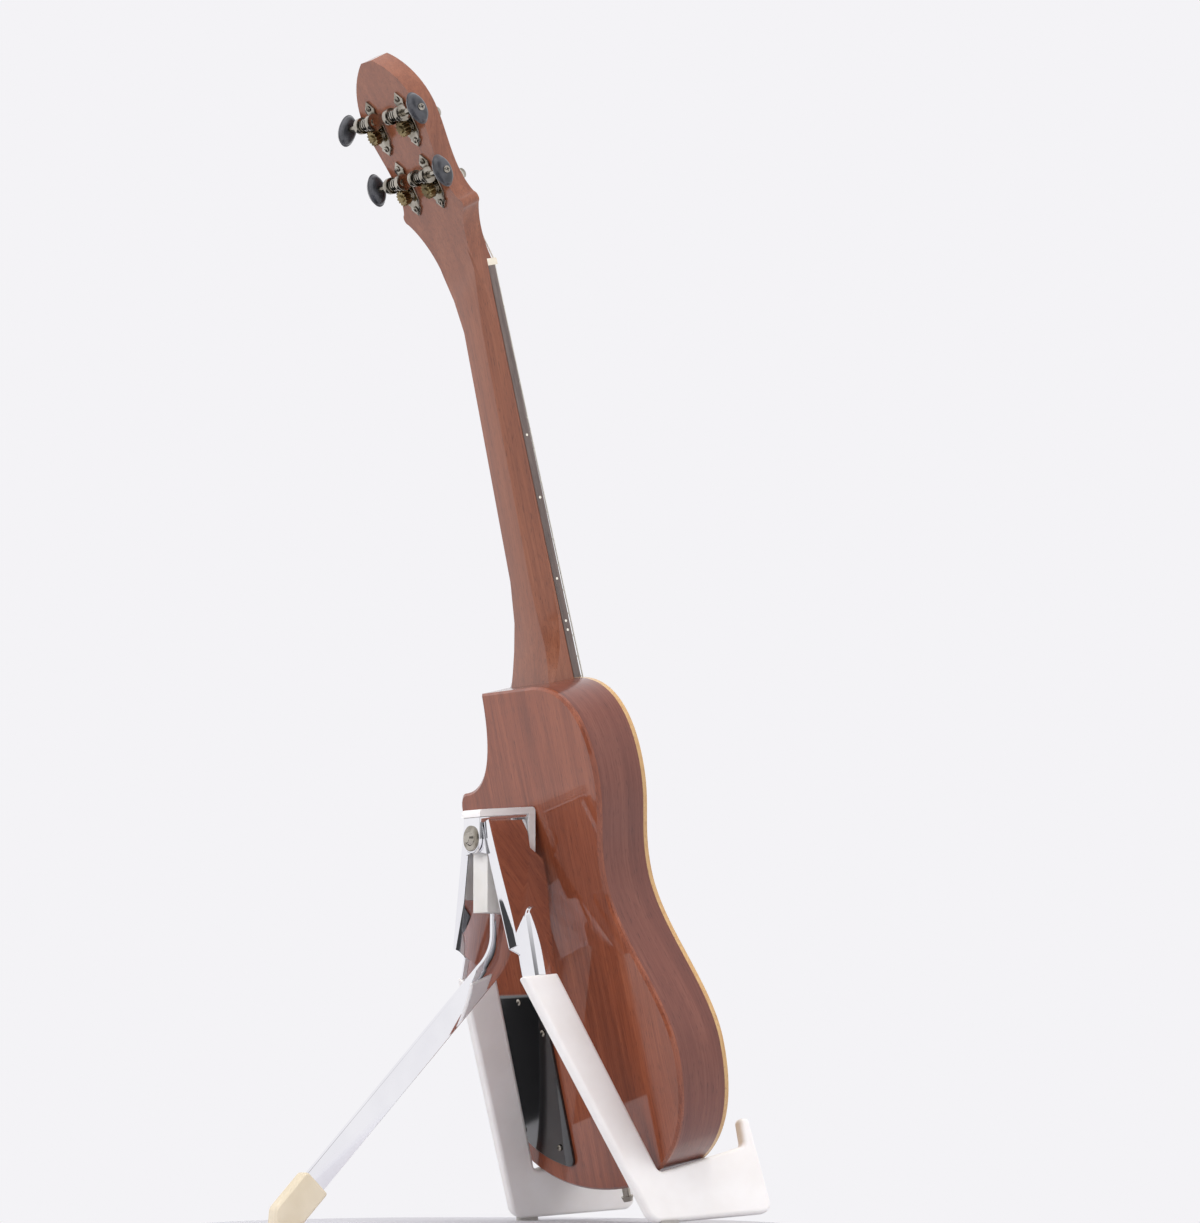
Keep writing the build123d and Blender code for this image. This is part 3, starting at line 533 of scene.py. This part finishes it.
# Each finish is named for its real material; the comment says what that gives the eye.
FINISHES = {
    # warm brown under a clear wet lacquer that mirrors the room
    "mahogany_back": Timber("LacqueredMahoganyBack"),
    # bent round the rim, so the streaks run round it; darker than the back as painted shade, for
    # sides turned away from the light; redder, and its shine is a little soft
    "mahogany_sides": Timber("LacqueredMahoganySides", deep="#5C2D22", middle="#6C392C",
                             light="#794536", grain=Grain.ROUND, coat_roughness=0.16,
                             ribbon_mm=9.0),
    # orange brown facets with a silky sheen
    "mahogany_neck": Timber("SatinMahoganyNeck", deep="#743F28", middle="#834A30",
                            light="#90573B", gloss=Gloss.SATIN, coat_roughness=0.13,
                            ribbon_mm=6.0),
    # honey yellow with fine straight lines, under lacquer
    "soundboard_wood": Timber("LacqueredSoundboard", deep="#B98C57", middle="#C49C68",
                              light="#CDA974", ribbon_mm=2.5),
    # dry and pale, seen only through the sound hole
    "inner_wood": Timber("RawSpruceInside", deep="#C09A66", middle="#D0AC78", light="#DDBE8E",
                         gloss=Gloss.RAW, ribbon_mm=2.0),
    # close-grained, with the dull sheen of oil; the grey brown is the wood's own dark brown lifted
    # lighter and greyer as painted sheen
    "rosewood": Timber("OiledRosewood", deep="#473A35", middle="#5C4D47", light="#6F605A",
                       gloss=Gloss.SATIN, coat_roughness=0.3, ribbon_mm=3.0),
    # creamy white and a little translucent
    "bone": Moulded("PolishedBone", "#E9E0CE", "#DCCFB8", 0.3, soft=0.1),
    # milky grey with a thin highlight along its length
    "nylon_string": Moulded("ClearNylonString", "#D9D6CC", "#C9C5BA", 0.25),
    # silvery yellow, polished along the crown
    "fret_metal": Plated("NickelSilverFretWire", "#D8D4C8", "#B9B4A6", 0.2),
    # warm grey metal, clouded where it has tarnished
    "nickel": Plated("NickelPlatedSteel", "#B9B3A8", "#8D8679", 0.16),
    # dull brass, browner between the teeth
    "brass_gear": Plated("TurnedBrassGear", "#9C8C66", "#66593D", 0.28),
    # smoky blue grey clouds with a gloss
    "grey_plastic": Moulded("MarbledKnobPlastic", "#46474C", "#28292D", 0.3, coat=0.5,
                            cloud_mm=6.0),
    # black mirror
    "black_plastic": Moulded("GlossBlackPlastic", "#121213", "#0D0D0E", 0.12, skin_depth=0.0,
                             coat=1.0),
    # small pale points on the board's edge
    "cream_dot": Moulded("CreamSideDot", "#EDE8DA", "#E2DBC8", 0.3),
    # white and brown mirror of the room and the instrument
    "chrome_sheet": Plated("ChromedSheetSteel", "#F7F7F9", "#F1F1F4", 0.03, patch_mm=40.0,
                           hairline_depth=0.008),
    # soft off-white with a faint sheen, so that the arms shade smoothly
    "ivory_rubber": Moulded("IvoryRubberSleeve", "#F3F0EE", "#EDE9E6", 0.42, skin_mm=0.8, coat=0.2,
                            soft=0.05),
    # matt cream, yellower than the sleeves
    "cream_rubber": Moulded("CreamRubberFoot", "#DFD2BB", "#D6C8AE", 0.55, soft=0.05),
    # waxy white
    "white_nylon": Moulded("WhiteNylonBlock", "#E2DFDB", "#D6D2CB", 0.4, soft=0.1),
    # matt grey line under the arms
    "pad_rubber": Moulded("PaleRubberPad", "#B4B0AB", "#A8A49F", 0.7),
}


@dataclass
class Wardrobe:
    """All the materials by the record's slot names, made when first asked for."""

    made: dict[str, bpy.types.Material] = field(default_factory=dict)

    def get(self, slot: str) -> bpy.types.Material:
        """Return a slot's material.

        Args:
            slot: The record's name of the slot.

        Returns:
            The material, made once.
        """
        if slot not in self.made:
            self.made[slot] = FINISHES[slot].build()
        return self.made[slot]


# ------------------------------------------------------------------ sub-assemblies
@dataclass
class SolidNodes:
    """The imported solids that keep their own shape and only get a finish."""

    wardrobe: Wardrobe
    smooth_degrees: float = 28.0

    def build(self) -> None:
        """Dress every node in the finish of its slot."""
        for name, node in frame["nodes"].items():
            dress(node, self.wardrobe.get(SLOTS[name]))
            activate(node)
            bpy.ops.object.shade_smooth_by_angle(angle=math.radians(self.smooth_degrees))
            log.info("dressed %s in %s", name, SLOTS[name])
        deselect()


@dataclass
class EasedEdges:
    """Copies of hard-edged solids with their corners rounded over, as filing, pressing and
    polishing leave them. Each copy stands for its node."""

    wardrobe: Wardrobe
    radii: dict[str, float] = field(default_factory=lambda: {
        "neck": 0.5, "rear_bar": 0.45, "left_plate": 0.3, "right_plate": 0.3, "head_bracket": 0.5,
        "hinge_block": 0.6, "control_cover": 0.4, "fingerboard": 0.3, "bridge": 0.25,
        "rear_foot": 0.8, "head_rivet": 0.3,
        **{f"{tuner.name}_tuner_plate": 0.18 for tuner in TUNERS}})
    weld_mm: float = 0.01
    flat_degrees: float = 0.6           # faces that meet flatter than this are one
    corner_degrees: float = 32.0        # edges sharper than this are rounded over
    segments: int = 3
    smooth_degrees: float = 38.0
    crisp: tuple[str, ...] = ("neck",)  # pieces whose shallow facets stay visible
    crisp_degrees: float = 13.0

    def copy_solid(self, node: str) -> bpy.types.Object:
        """Copy a node's solid with its own mesh and merge its triangles into faces.

        Args:
            node: The node's name.

        Returns:
            The copy.
        """
        source = frame["nodes"][node]
        piece = source.copy()
        piece.data = source.data.copy()
        piece.name = f"{node}_eased"
        piece.parent = None
        bpy.context.collection.objects.link(piece)
        activate(piece)
        bpy.ops.object.mode_set(mode="EDIT")
        bpy.ops.mesh.select_all(action="SELECT")
        bpy.ops.mesh.remove_doubles(threshold=self.weld_mm * MM)
        bpy.ops.mesh.dissolve_limited(angle_limit=math.radians(self.flat_degrees))
        bpy.ops.object.mode_set(mode="OBJECT")
        return piece

    def build(self) -> None:
        """Round over every listed node."""
        for node, radius in self.radii.items():
            piece = self.copy_solid(node)
            ease = piece.modifiers.new("ease", "BEVEL")
            ease.width = radius * MM
            ease.segments = self.segments
            ease.limit_method = "ANGLE"
            ease.angle_limit = math.radians(self.corner_degrees)
            ease.use_clamp_overlap = True
            bpy.ops.object.modifier_apply(modifier=ease.name)
            limit = self.crisp_degrees if node in self.crisp else self.smooth_degrees
            bpy.ops.object.shade_smooth_by_angle(angle=math.radians(limit))
            dress(piece, self.wardrobe.get(SLOTS[node]))
            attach(piece, BODIES[node])
            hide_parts(node)
            log.info("eased %s by %.2f mm", node, radius)


@dataclass
class ScrewHeads:
    """Domed cross-head screws: two on each tuner plate, six in the control cover and one in the
    end of every knob."""

    wardrobe: Wardrobe
    dome: float = 0.42                  # shares of the head's radius
    recess: float = 0.34
    cross_length: float = 1.15
    cross_width: float = 0.26
    rim: float = 0.05
    smooth_degrees: float = 35.0
    plate_radius: float = 1.75          # millimetres
    plate_step: float = 12.6            # of the two screws from the plate's middle
    plate_height: float = 1.15          # of the plate's face over the headstock's back
    cover_radius: float = 1.9
    cover_height: float = 35.75         # of the cover's face behind the soundboard
    knob_radius: float = 2.1
    knob_sink: float = 0.1
    # across, and up the neck from the joint
    cover_spots: tuple[tuple[float, float], ...] = (
        (44.0, -180.0), (25.0, -198.5), (31.0, -266.0),
        (72.0, -182.0), (84.0, -218.0), (66.0, -256.0))
    # degrees that turn the screws' crosses away from each other, as they stop when driven
    side_twist: float = 23.0
    step_twist: float = 41.0
    cover_twist: float = 37.0

    def model(self) -> bpy.types.Object:
        """Shape one head: a flattened dome with a cross pressed into it.

        Returns:
            The head, of radius 1, on the origin.
        """
        deselect()
        bpy.ops.mesh.primitive_uv_sphere_add(segments=32, ring_count=16, radius=1.0)
        head = bpy.context.active_object
        bpy.ops.object.mode_set(mode="EDIT")
        bpy.ops.mesh.select_all(action="SELECT")
        bpy.ops.mesh.bisect(plane_co=(0, 0, 0), plane_no=(0, 0, 1), use_fill=True, clear_inner=True)
        bpy.ops.mesh.select_all(action="SELECT")
        bpy.ops.transform.resize(value=(1, 1, self.dome))
        bpy.ops.object.mode_set(mode="OBJECT")
        for turn in (0, 90):
            deselect()
            bpy.ops.mesh.primitive_cube_add(size=1.0, location=(0, 0, self.dome))
            blade = bpy.context.active_object
            blade.scale = (self.cross_length, self.cross_width, 2 * self.recess)
            blade.rotation_euler = (0, 0, math.radians(turn))
            settle(blade)
            activate(head)
            cut = head.modifiers.new("recess", "BOOLEAN")
            cut.object = blade
            cut.solver = "EXACT"
            bpy.ops.object.modifier_apply(modifier=cut.name)
            bpy.data.objects.remove(blade)
        soften = head.modifiers.new("rim", "BEVEL")
        soften.width = self.rim
        soften.segments = 2
        soften.limit_method = "ANGLE"
        activate(head)
        bpy.ops.object.modifier_apply(modifier=soften.name)
        bpy.ops.object.shade_smooth_by_angle(angle=math.radians(self.smooth_degrees))
        return head

    def put(self, head: bpy.types.Object, name: str, body: str, place: Matrix,
            radius: float) -> None:
        """Set one copy of the head on its surface.

        Args:
            head: The modelled head.
            name: The copy's name.
            body: The body it is driven into.
            place: Matrix whose +Z leaves the surface.
            radius: The head's radius in millimetres.
        """
        copy = copy_of(head, name, place @ Matrix.Scale(radius * MM, 4))
        dress(copy, self.wardrobe.get("nickel"))
        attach(copy, body)

    def build(self) -> None:
        """Drive all the screws."""
        head = self.model()
        out, up = LEAN.back(LEAN.head), LEAN.up(LEAN.head)
        for tuner in TUNERS:
            for end, step in (("low", -self.plate_step), ("high", self.plate_step)):
                spot = on_head(tuner.across, tuner.up + step, self.plate_height)
                turn = math.radians(self.side_twist * tuner.side + self.step_twist * step)
                self.put(head, f"{tuner.name}_{end}_screw", "ukulele",
                         frame_matrix(spot, out, up) @ Matrix.Rotation(turn, 4, "Z"),
                         self.plate_radius)
            low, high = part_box(f"{tuner.name}_knob")
            middle = (Vector(low) + Vector(high)) / 2
            reach = max(abs(low[0]), abs(high[0])) - self.knob_sink * MM
            place = frame_matrix(Vector((tuner.side * reach, middle.y, middle.z)),
                                 Vector((tuner.side, 0, 0)), up)
            self.put(head, f"{tuner.name}_knob_screw", f"{tuner.name}_worm", place,
                     self.knob_radius)
        out, up = LEAN.back(LEAN.body), LEAN.up(LEAN.body)
        for number, (x, y) in enumerate(self.cover_spots, 1):
            place = frame_matrix(on_body(x, y, -self.cover_height), out, up)
            twist = Matrix.Rotation(math.radians(self.cover_twist * number), 4, "Z")
            self.put(head, f"cover_screw_{number}", "ukulele", place @ twist, self.cover_radius)
        bpy.data.objects.remove(head)
        log.info("screw heads driven")


@dataclass
class Knobs:
    """Oval tuner buttons of marbled plastic with a crease round the widest part."""

    wardrobe: Wardrobe
    length: float = 19.4
    width: float = 11.2
    thickness: float = 8.4
    end_inset: float = 1.2
    crease: float = 0.85
    mirror_gap: float = 0.001       # points nearer than this to their mirror are one
    smooth_levels: int = 2
    # degrees about the shaft, as they were left after tuning
    turns: dict[str, float] = field(default_factory=lambda: {
        "lower_treble": 12, "lower_bass": 0, "upper_treble": 42, "upper_bass": -4})
    # height and width of each ring, as shares of half the thickness and of the outline
    rings: tuple[tuple[float, float], ...] = (
        (0.07, 0.99), (0.13, 0.92), (0.5, 0.87), (0.84, 0.74), (1.0, 0.5))

    def model(self) -> bpy.types.Object:
        """Shape one button about the origin.

        Returns:
            The button in millimetres, its shaft along Z and its long side along Y.
        """
        deselect()
        bpy.ops.mesh.primitive_circle_add(vertices=32, radius=1.0, fill_type="NOTHING")
        button = bpy.context.active_object
        bpy.ops.object.mode_set(mode="EDIT")
        bpy.ops.mesh.select_all(action="SELECT")
        bpy.ops.transform.resize(value=(self.width / 2, self.length / 2, 1))
        bpy.ops.transform.edge_crease(value=self.crease)
        level, size = 0.0, 1.0
        for height, share in self.rings:
            bpy.ops.mesh.extrude_region_move(TRANSFORM_OT_translate={
                "value": (0, 0, (height - level) * self.thickness / 2)})
            bpy.ops.transform.resize(value=(share / size, share / size, 1))
            bpy.ops.transform.edge_crease(value=-1)
            level, size = height, share
        bpy.ops.mesh.edge_face_add()
        bpy.ops.mesh.inset(thickness=self.end_inset)
        bpy.ops.object.mode_set(mode="OBJECT")
        mirror = button.modifiers.new("other half", "MIRROR")
        mirror.use_axis = (False, False, True)
        mirror.merge_threshold = self.mirror_gap
        bpy.ops.object.modifier_apply(modifier=mirror.name)
        smooth = button.modifiers.new("smooth", "SUBSURF")
        smooth.levels = smooth.render_levels = self.smooth_levels
        bpy.ops.object.modifier_apply(modifier=smooth.name)
        tidy_normals(button)
        bpy.ops.object.shade_smooth()
        return button

    def build(self) -> None:
        """Put a button on every shaft."""
        button = self.model()
        for tuner in TUNERS:
            node = f"{tuner.name}_knob"
            low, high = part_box(node)
            turn = math.radians(self.turns[tuner.name])
            up = Matrix.Rotation(turn, 4, "X") @ LEAN.up(LEAN.head)
            place = frame_matrix((Vector(low) + Vector(high)) / 2, Vector((tuner.side, 0, 0)), up)
            copy = copy_of(button, f"{tuner.name}_button", place @ Matrix.Scale(MM, 4))
            dress(copy, self.wardrobe.get("grey_plastic"))
            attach(copy, f"{tuner.name}_worm")
            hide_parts(node)
            log.info("button %s", tuner.name)
        bpy.data.objects.remove(button)


@dataclass
class StringCoils:
    """String wound round each post, modelled once: three close turns and the cut tail."""

    wardrobe: Wardrobe
    wire: float = 0.42                  # radius, in millimetres like the rest
    post: float = 3.0
    turns: int = 3
    pitch: float = 2.1                  # rise of a turn, in radii of the wire
    steps: int = 24                     # of each turn
    sides: int = 10                     # of the wire
    tail: float = 8.5
    tail_tuck: float = 0.5              # how far it starts inside the coil
    tail_share: float = 0.8             # of the wire's radius
    tail_tilt: tuple[float, float] = (-62.0, -20.0)
    smooth_degrees: float = 40.0
    post_drop: float = 3.6              # of the post below the plate's middle
    head_thickness: float = 12.0
    coil_gap: float = 3.8               # of the lowest turn over the headstock's face

    def model(self) -> bpy.types.Object:
        """Shape the coil about the origin.

        Returns:
            The coil in millimetres, its axis along Z.
        """
        top = self.pitch * self.wire * self.turns
        deselect()
        bpy.ops.mesh.primitive_circle_add(
            vertices=self.sides, radius=self.wire, fill_type="NOTHING",
            location=(self.post + self.wire, 0, 0), rotation=(math.radians(90), 0, 0))
        coil = settle(bpy.context.active_object)
        wind = coil.modifiers.new("wind", "SCREW")
        wind.angle = math.radians(360 * self.turns)
        wind.screw_offset = top
        wind.steps = wind.render_steps = self.steps * self.turns
        bpy.ops.object.modifier_apply(modifier=wind.name)
        bpy.ops.object.mode_set(mode="EDIT")
        bpy.ops.mesh.select_all(action="SELECT")
        bpy.ops.mesh.region_to_loop()
        bpy.ops.mesh.fill()
        bpy.ops.object.mode_set(mode="OBJECT")
        deselect()
        bpy.ops.mesh.primitive_cylinder_add(
            vertices=self.sides, radius=self.wire * self.tail_share, depth=self.tail,
            location=(self.post + self.wire, self.tail / 2 - self.tail_tuck, top))
        tail = bpy.context.active_object
        lean, swing = (math.radians(angle) for angle in self.tail_tilt)
        tail.rotation_euler = (lean, 0, swing)
        settle(tail)
        coil.select_set(True)
        bpy.context.view_layer.objects.active = coil
        bpy.ops.object.join()
        tidy_normals(coil)
        bpy.ops.object.shade_smooth_by_angle(angle=math.radians(self.smooth_degrees))
        return coil

    def build(self) -> None:
        """Wind a string on every post."""
        coil = self.model()
        depth = self.head_thickness + self.coil_gap
        for tuner in TUNERS:
            place = frame_matrix(on_head(tuner.across, tuner.up - self.post_drop, -depth),
                                 -LEAN.back(LEAN.head), LEAN.up(LEAN.head))
            copy = copy_of(coil, f"{tuner.name}_string_coil", place @ Matrix.Scale(MM, 4))
            dress(copy, self.wardrobe.get("nylon_string"))
            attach(copy, f"{tuner.name}_wheel")
        bpy.data.objects.remove(coil)
        log.info("strings wound")


@dataclass(frozen=True)
class Lamp:
    """One square soft lamp. Lengths in metres, steps from the middle of the object."""

    name: str
    right: float        # step to the camera's right
    towards: float      # step towards the camera
    up: float
    size: float
    watts: float


@dataclass
class Studio:
    """Pale floor with a turntable, soft lamps, white surroundings and the camera.

    Lengths are in metres unless a name says otherwise.
    """

    paper: str = "#F4F3F6"
    floor_base: str = "#CBCACE"
    floor_roughness: float = 0.9
    disc_radius: float = 0.171
    disc_fade: tuple[float, float] = (0.14, 0.5)
    floor_drop: float = 0.02
    floor_radius: float = 3.0
    floor_fade: tuple[float, float] = (0.2, 0.45)
    # a dark card behind the stand, seen only in mirrors
    card_place: tuple[float, float] = (0.62, 0.39)
    card_size: tuple[float, float] = (0.95, 1.7)
    card_turn: float = 33.0             # degrees
    card_depth: float = 0.9             # share of the floor's drop
    card_colour: str = "#151517"
    card_roughness: float = 0.95
    # the light of the surroundings, and a darker gap in them that polished metal mirrors
    daylight: str = "#F4F4F8"
    daylight_strength: float = 0.74
    gap_colour: str = "#2A2828"
    gap_way: tuple[float, float, float] = (-0.83, 0.55, 0.05)
    gap_reach: tuple[float, float] = (0.72, 0.93)
    gap_share: float = 0.8
    # soft lamps, which polished surfaces don't mirror, placed by steps to the camera's right,
    # towards it and up
    lamp_middle: tuple[float, float, float] = (0, 0, 0.33)
    lamp_right: tuple[float, float, float] = (-0.558, -0.83, 0)
    lamp_towards: tuple[float, float, float] = (-0.83, 0.558, 0)
    lamps: tuple[Lamp, ...] = (
        Lamp("key", right=-1.7, towards=1.0, up=1.1, size=1.5, watts=26),
        Lamp("fill", right=1.7, towards=0.8, up=0.9, size=1.6, watts=18),
        Lamp("top", right=0.0, towards=0.2, up=1.7, size=1.4, watts=17))
    lens_mm: float = 137.3
    camera_place: tuple[float, float, float] = (-2.2286, 1.4254, 0.0789)
    camera_forward: tuple[float, float, float] = (0.8255, -0.5554, 0.1009)

    def paper_material(self, name: str, fade: tuple[float, float]) -> bpy.types.Material:
        """Matt paper that takes shadow near the stand and melts into the white surroundings.

        Args:
            name: The material's name.
            fade: Radius inside which the paper is plain, and radius beyond which it has the
                surroundings' colour.

        Returns:
            The material.
        """
        material, tree, shader = new_material(name)
        shader.inputs["Base Color"].default_value = linear(self.floor_base)
        shader.inputs["Roughness"].default_value = self.floor_roughness
        place = add_node(tree, "ShaderNodeTexCoord")
        flat = add_node(tree, "ShaderNodeVectorMath", {"operation": "MULTIPLY"},
                        {0: place.outputs["Object"], 1: (1, 1, 0)})
        reach = add_node(tree, "ShaderNodeVectorMath", {"operation": "LENGTH"},
                         {0: flat.outputs[0]})
        white = add_node(tree, "ShaderNodeMapRange", {"interpolation_type": "SMOOTHSTEP"}, {
            "Value": reach.outputs["Value"], "From Min": fade[0], "From Max": fade[1]})
        rays = add_node(tree, "ShaderNodeLightPath")
        seen = add_node(tree, "ShaderNodeMath", {"operation": "MAXIMUM"}, {
            0: rays.outputs["Is Camera Ray"], 1: rays.outputs["Is Glossy Ray"]})
        share = add_node(tree, "ShaderNodeMath", {"operation": "MULTIPLY"},
                         {0: white.outputs["Result"], 1: seen.outputs[0]})
        glow = add_node(tree, "ShaderNodeEmission",
                        inputs={"Color": linear(self.paper), "Strength": 1.0})
        mixed = add_node(tree, "ShaderNodeMixShader", inputs={
            0: share.outputs[0], 1: shader.outputs["BSDF"], 2: glow.outputs["Emission"]})
        out = next(n for n in tree.nodes if n.bl_idname == "ShaderNodeOutputMaterial")
        tree.links.new(mixed.outputs[0], out.inputs["Surface"])
        return material

    def build_floor(self) -> None:
        """Turntable disc under the stand, and the floor around it."""
        deselect()
        bpy.ops.mesh.primitive_cylinder_add(vertices=128, radius=self.disc_radius,
                                            depth=self.floor_drop,
                                            location=(0, 0, -self.floor_drop / 2))
        disc = settle(bpy.context.active_object)
        disc.name = "turntable"
        dress(disc, self.paper_material("TurntablePaper", self.disc_fade))
        deselect()
        bpy.ops.mesh.primitive_circle_add(vertices=96, radius=self.floor_radius, fill_type="NGON",
                                          location=(0, 0, -self.floor_drop))
        floor = settle(bpy.context.active_object)
        floor.name = "floor"
        dress(floor, self.paper_material("FloorPaper", self.floor_fade))
        self.build_card()

    def build_card(self) -> bpy.types.Object:
        """Dark card that only mirrors see.

        Returns:
            The card.
        """
        deselect()
        bpy.ops.mesh.primitive_plane_add(
            size=1.0, location=(*self.card_place, -self.floor_drop * self.card_depth))
        card = bpy.context.active_object
        card.scale = (*self.card_size, 1)
        card.rotation_euler = (0, 0, math.radians(self.card_turn))
        settle(card)
        card.name = "dark_card"
        cloth, _, shader = new_material("BlackStudioCard")
        shader.inputs["Base Color"].default_value = linear(self.card_colour)
        shader.inputs["Roughness"].default_value = self.card_roughness
        dress(card, cloth)
        card.visible_camera = card.visible_diffuse = card.visible_shadow = False
        return card

    def build_world(self) -> None:
        """White surroundings for the eye and for reflections, a softer level for lighting."""
        world = bpy.data.worlds.new("Surroundings")
        bpy.context.scene.world = world
        world.use_nodes = True
        tree = world.node_tree
        tree.nodes.clear()
        rays = add_node(tree, "ShaderNodeLightPath")
        sharp = add_node(tree, "ShaderNodeMath", {"operation": "MAXIMUM"}, {
            0: rays.outputs["Is Glossy Ray"], 1: rays.outputs["Is Transmission Ray"]})
        seen = add_node(tree, "ShaderNodeMath", {"operation": "MAXIMUM"}, {
            0: rays.outputs["Is Camera Ray"], 1: sharp.outputs[0]})
        glow = add_node(tree, "ShaderNodeBackground", inputs={
            "Color": linear(self.daylight), "Strength": self.daylight_strength})
        ways = add_node(tree, "ShaderNodeTexCoord")
        facing = add_node(tree, "ShaderNodeVectorMath", {"operation": "DOT_PRODUCT"},
                          {0: ways.outputs["Generated"], 1: self.gap_way})
        gap = add_node(tree, "ShaderNodeMapRange", {"interpolation_type": "SMOOTHSTEP"}, {
            "Value": facing.outputs["Value"], "From Min": self.gap_reach[0],
            "From Max": self.gap_reach[1], "To Min": 0.0, "To Max": self.gap_share})
        dim = add_node(tree, "ShaderNodeMath", {"operation": "MULTIPLY"},
                       {0: gap.outputs["Result"], 1: sharp.outputs[0]})
        room = add_node(tree, "ShaderNodeMix", {"data_type": "RGBA"},
                        {0: dim.outputs[0], 6: linear(self.paper), 7: linear(self.gap_colour)})
        paper = add_node(tree, "ShaderNodeBackground",
                         inputs={"Color": room.outputs[2], "Strength": 1.0})
        mixed = add_node(tree, "ShaderNodeMixShader", inputs={
            0: seen.outputs[0], 1: glow.outputs["Background"], 2: paper.outputs["Background"]})
        add_node(tree, "ShaderNodeOutputWorld", inputs={"Surface": mixed.outputs[0]})

    def add_lamp(self, row: Lamp) -> None:
        """Hang one lamp facing the middle of the object.

        Args:
            row: The lamp.
        """
        middle = Vector(self.lamp_middle)
        place = (middle + Vector(self.lamp_right) * row.right
                 + Vector(self.lamp_towards) * row.towards + Vector((0, 0, row.up)))
        deselect()
        bpy.ops.object.light_add(type="AREA", location=place)
        lamp = bpy.context.active_object
        lamp.name = row.name
        lamp.data.shape = "SQUARE"
        lamp.data.size = row.size
        lamp.data.energy = row.watts
        lamp.visible_glossy = False
        lamp.rotation_mode = "QUATERNION"
        lamp.rotation_quaternion = (middle - place).to_track_quat("-Z", "Y")

    def build_camera(self) -> None:
        """Camera at the viewing angle, without shift."""
        bpy.ops.object.camera_add(location=self.camera_place)
        camera = bpy.context.active_object
        camera.name = "camera"
        camera.rotation_mode = "QUATERNION"
        camera.rotation_quaternion = Vector(self.camera_forward).to_track_quat("-Z", "Y")
        camera.data.lens = self.lens_mm
        camera.data.sensor_width = 36.0
        camera.data.clip_start = 0.05
        camera.data.clip_end = 50.0
        bpy.context.scene.camera = camera

    def build(self) -> None:
        """Set up everything around the object."""
        self.build_floor()
        self.build_world()
        for row in self.lamps:
            self.add_lamp(row)
        self.build_camera()
        bpy.context.scene.view_settings.view_transform = "Standard"
        log.info("studio ready")


def main() -> None:
    """Build the pieces in order."""
    logging.basicConfig(level=logging.INFO, format="%(name)s: %(message)s")
    wardrobe = Wardrobe()
    SolidNodes(wardrobe).build()
    EasedEdges(wardrobe).build()
    Knobs(wardrobe).build()
    ScrewHeads(wardrobe).build()
    StringCoils(wardrobe).build()
    Studio().build()


if __name__ == "__main__":
    main()
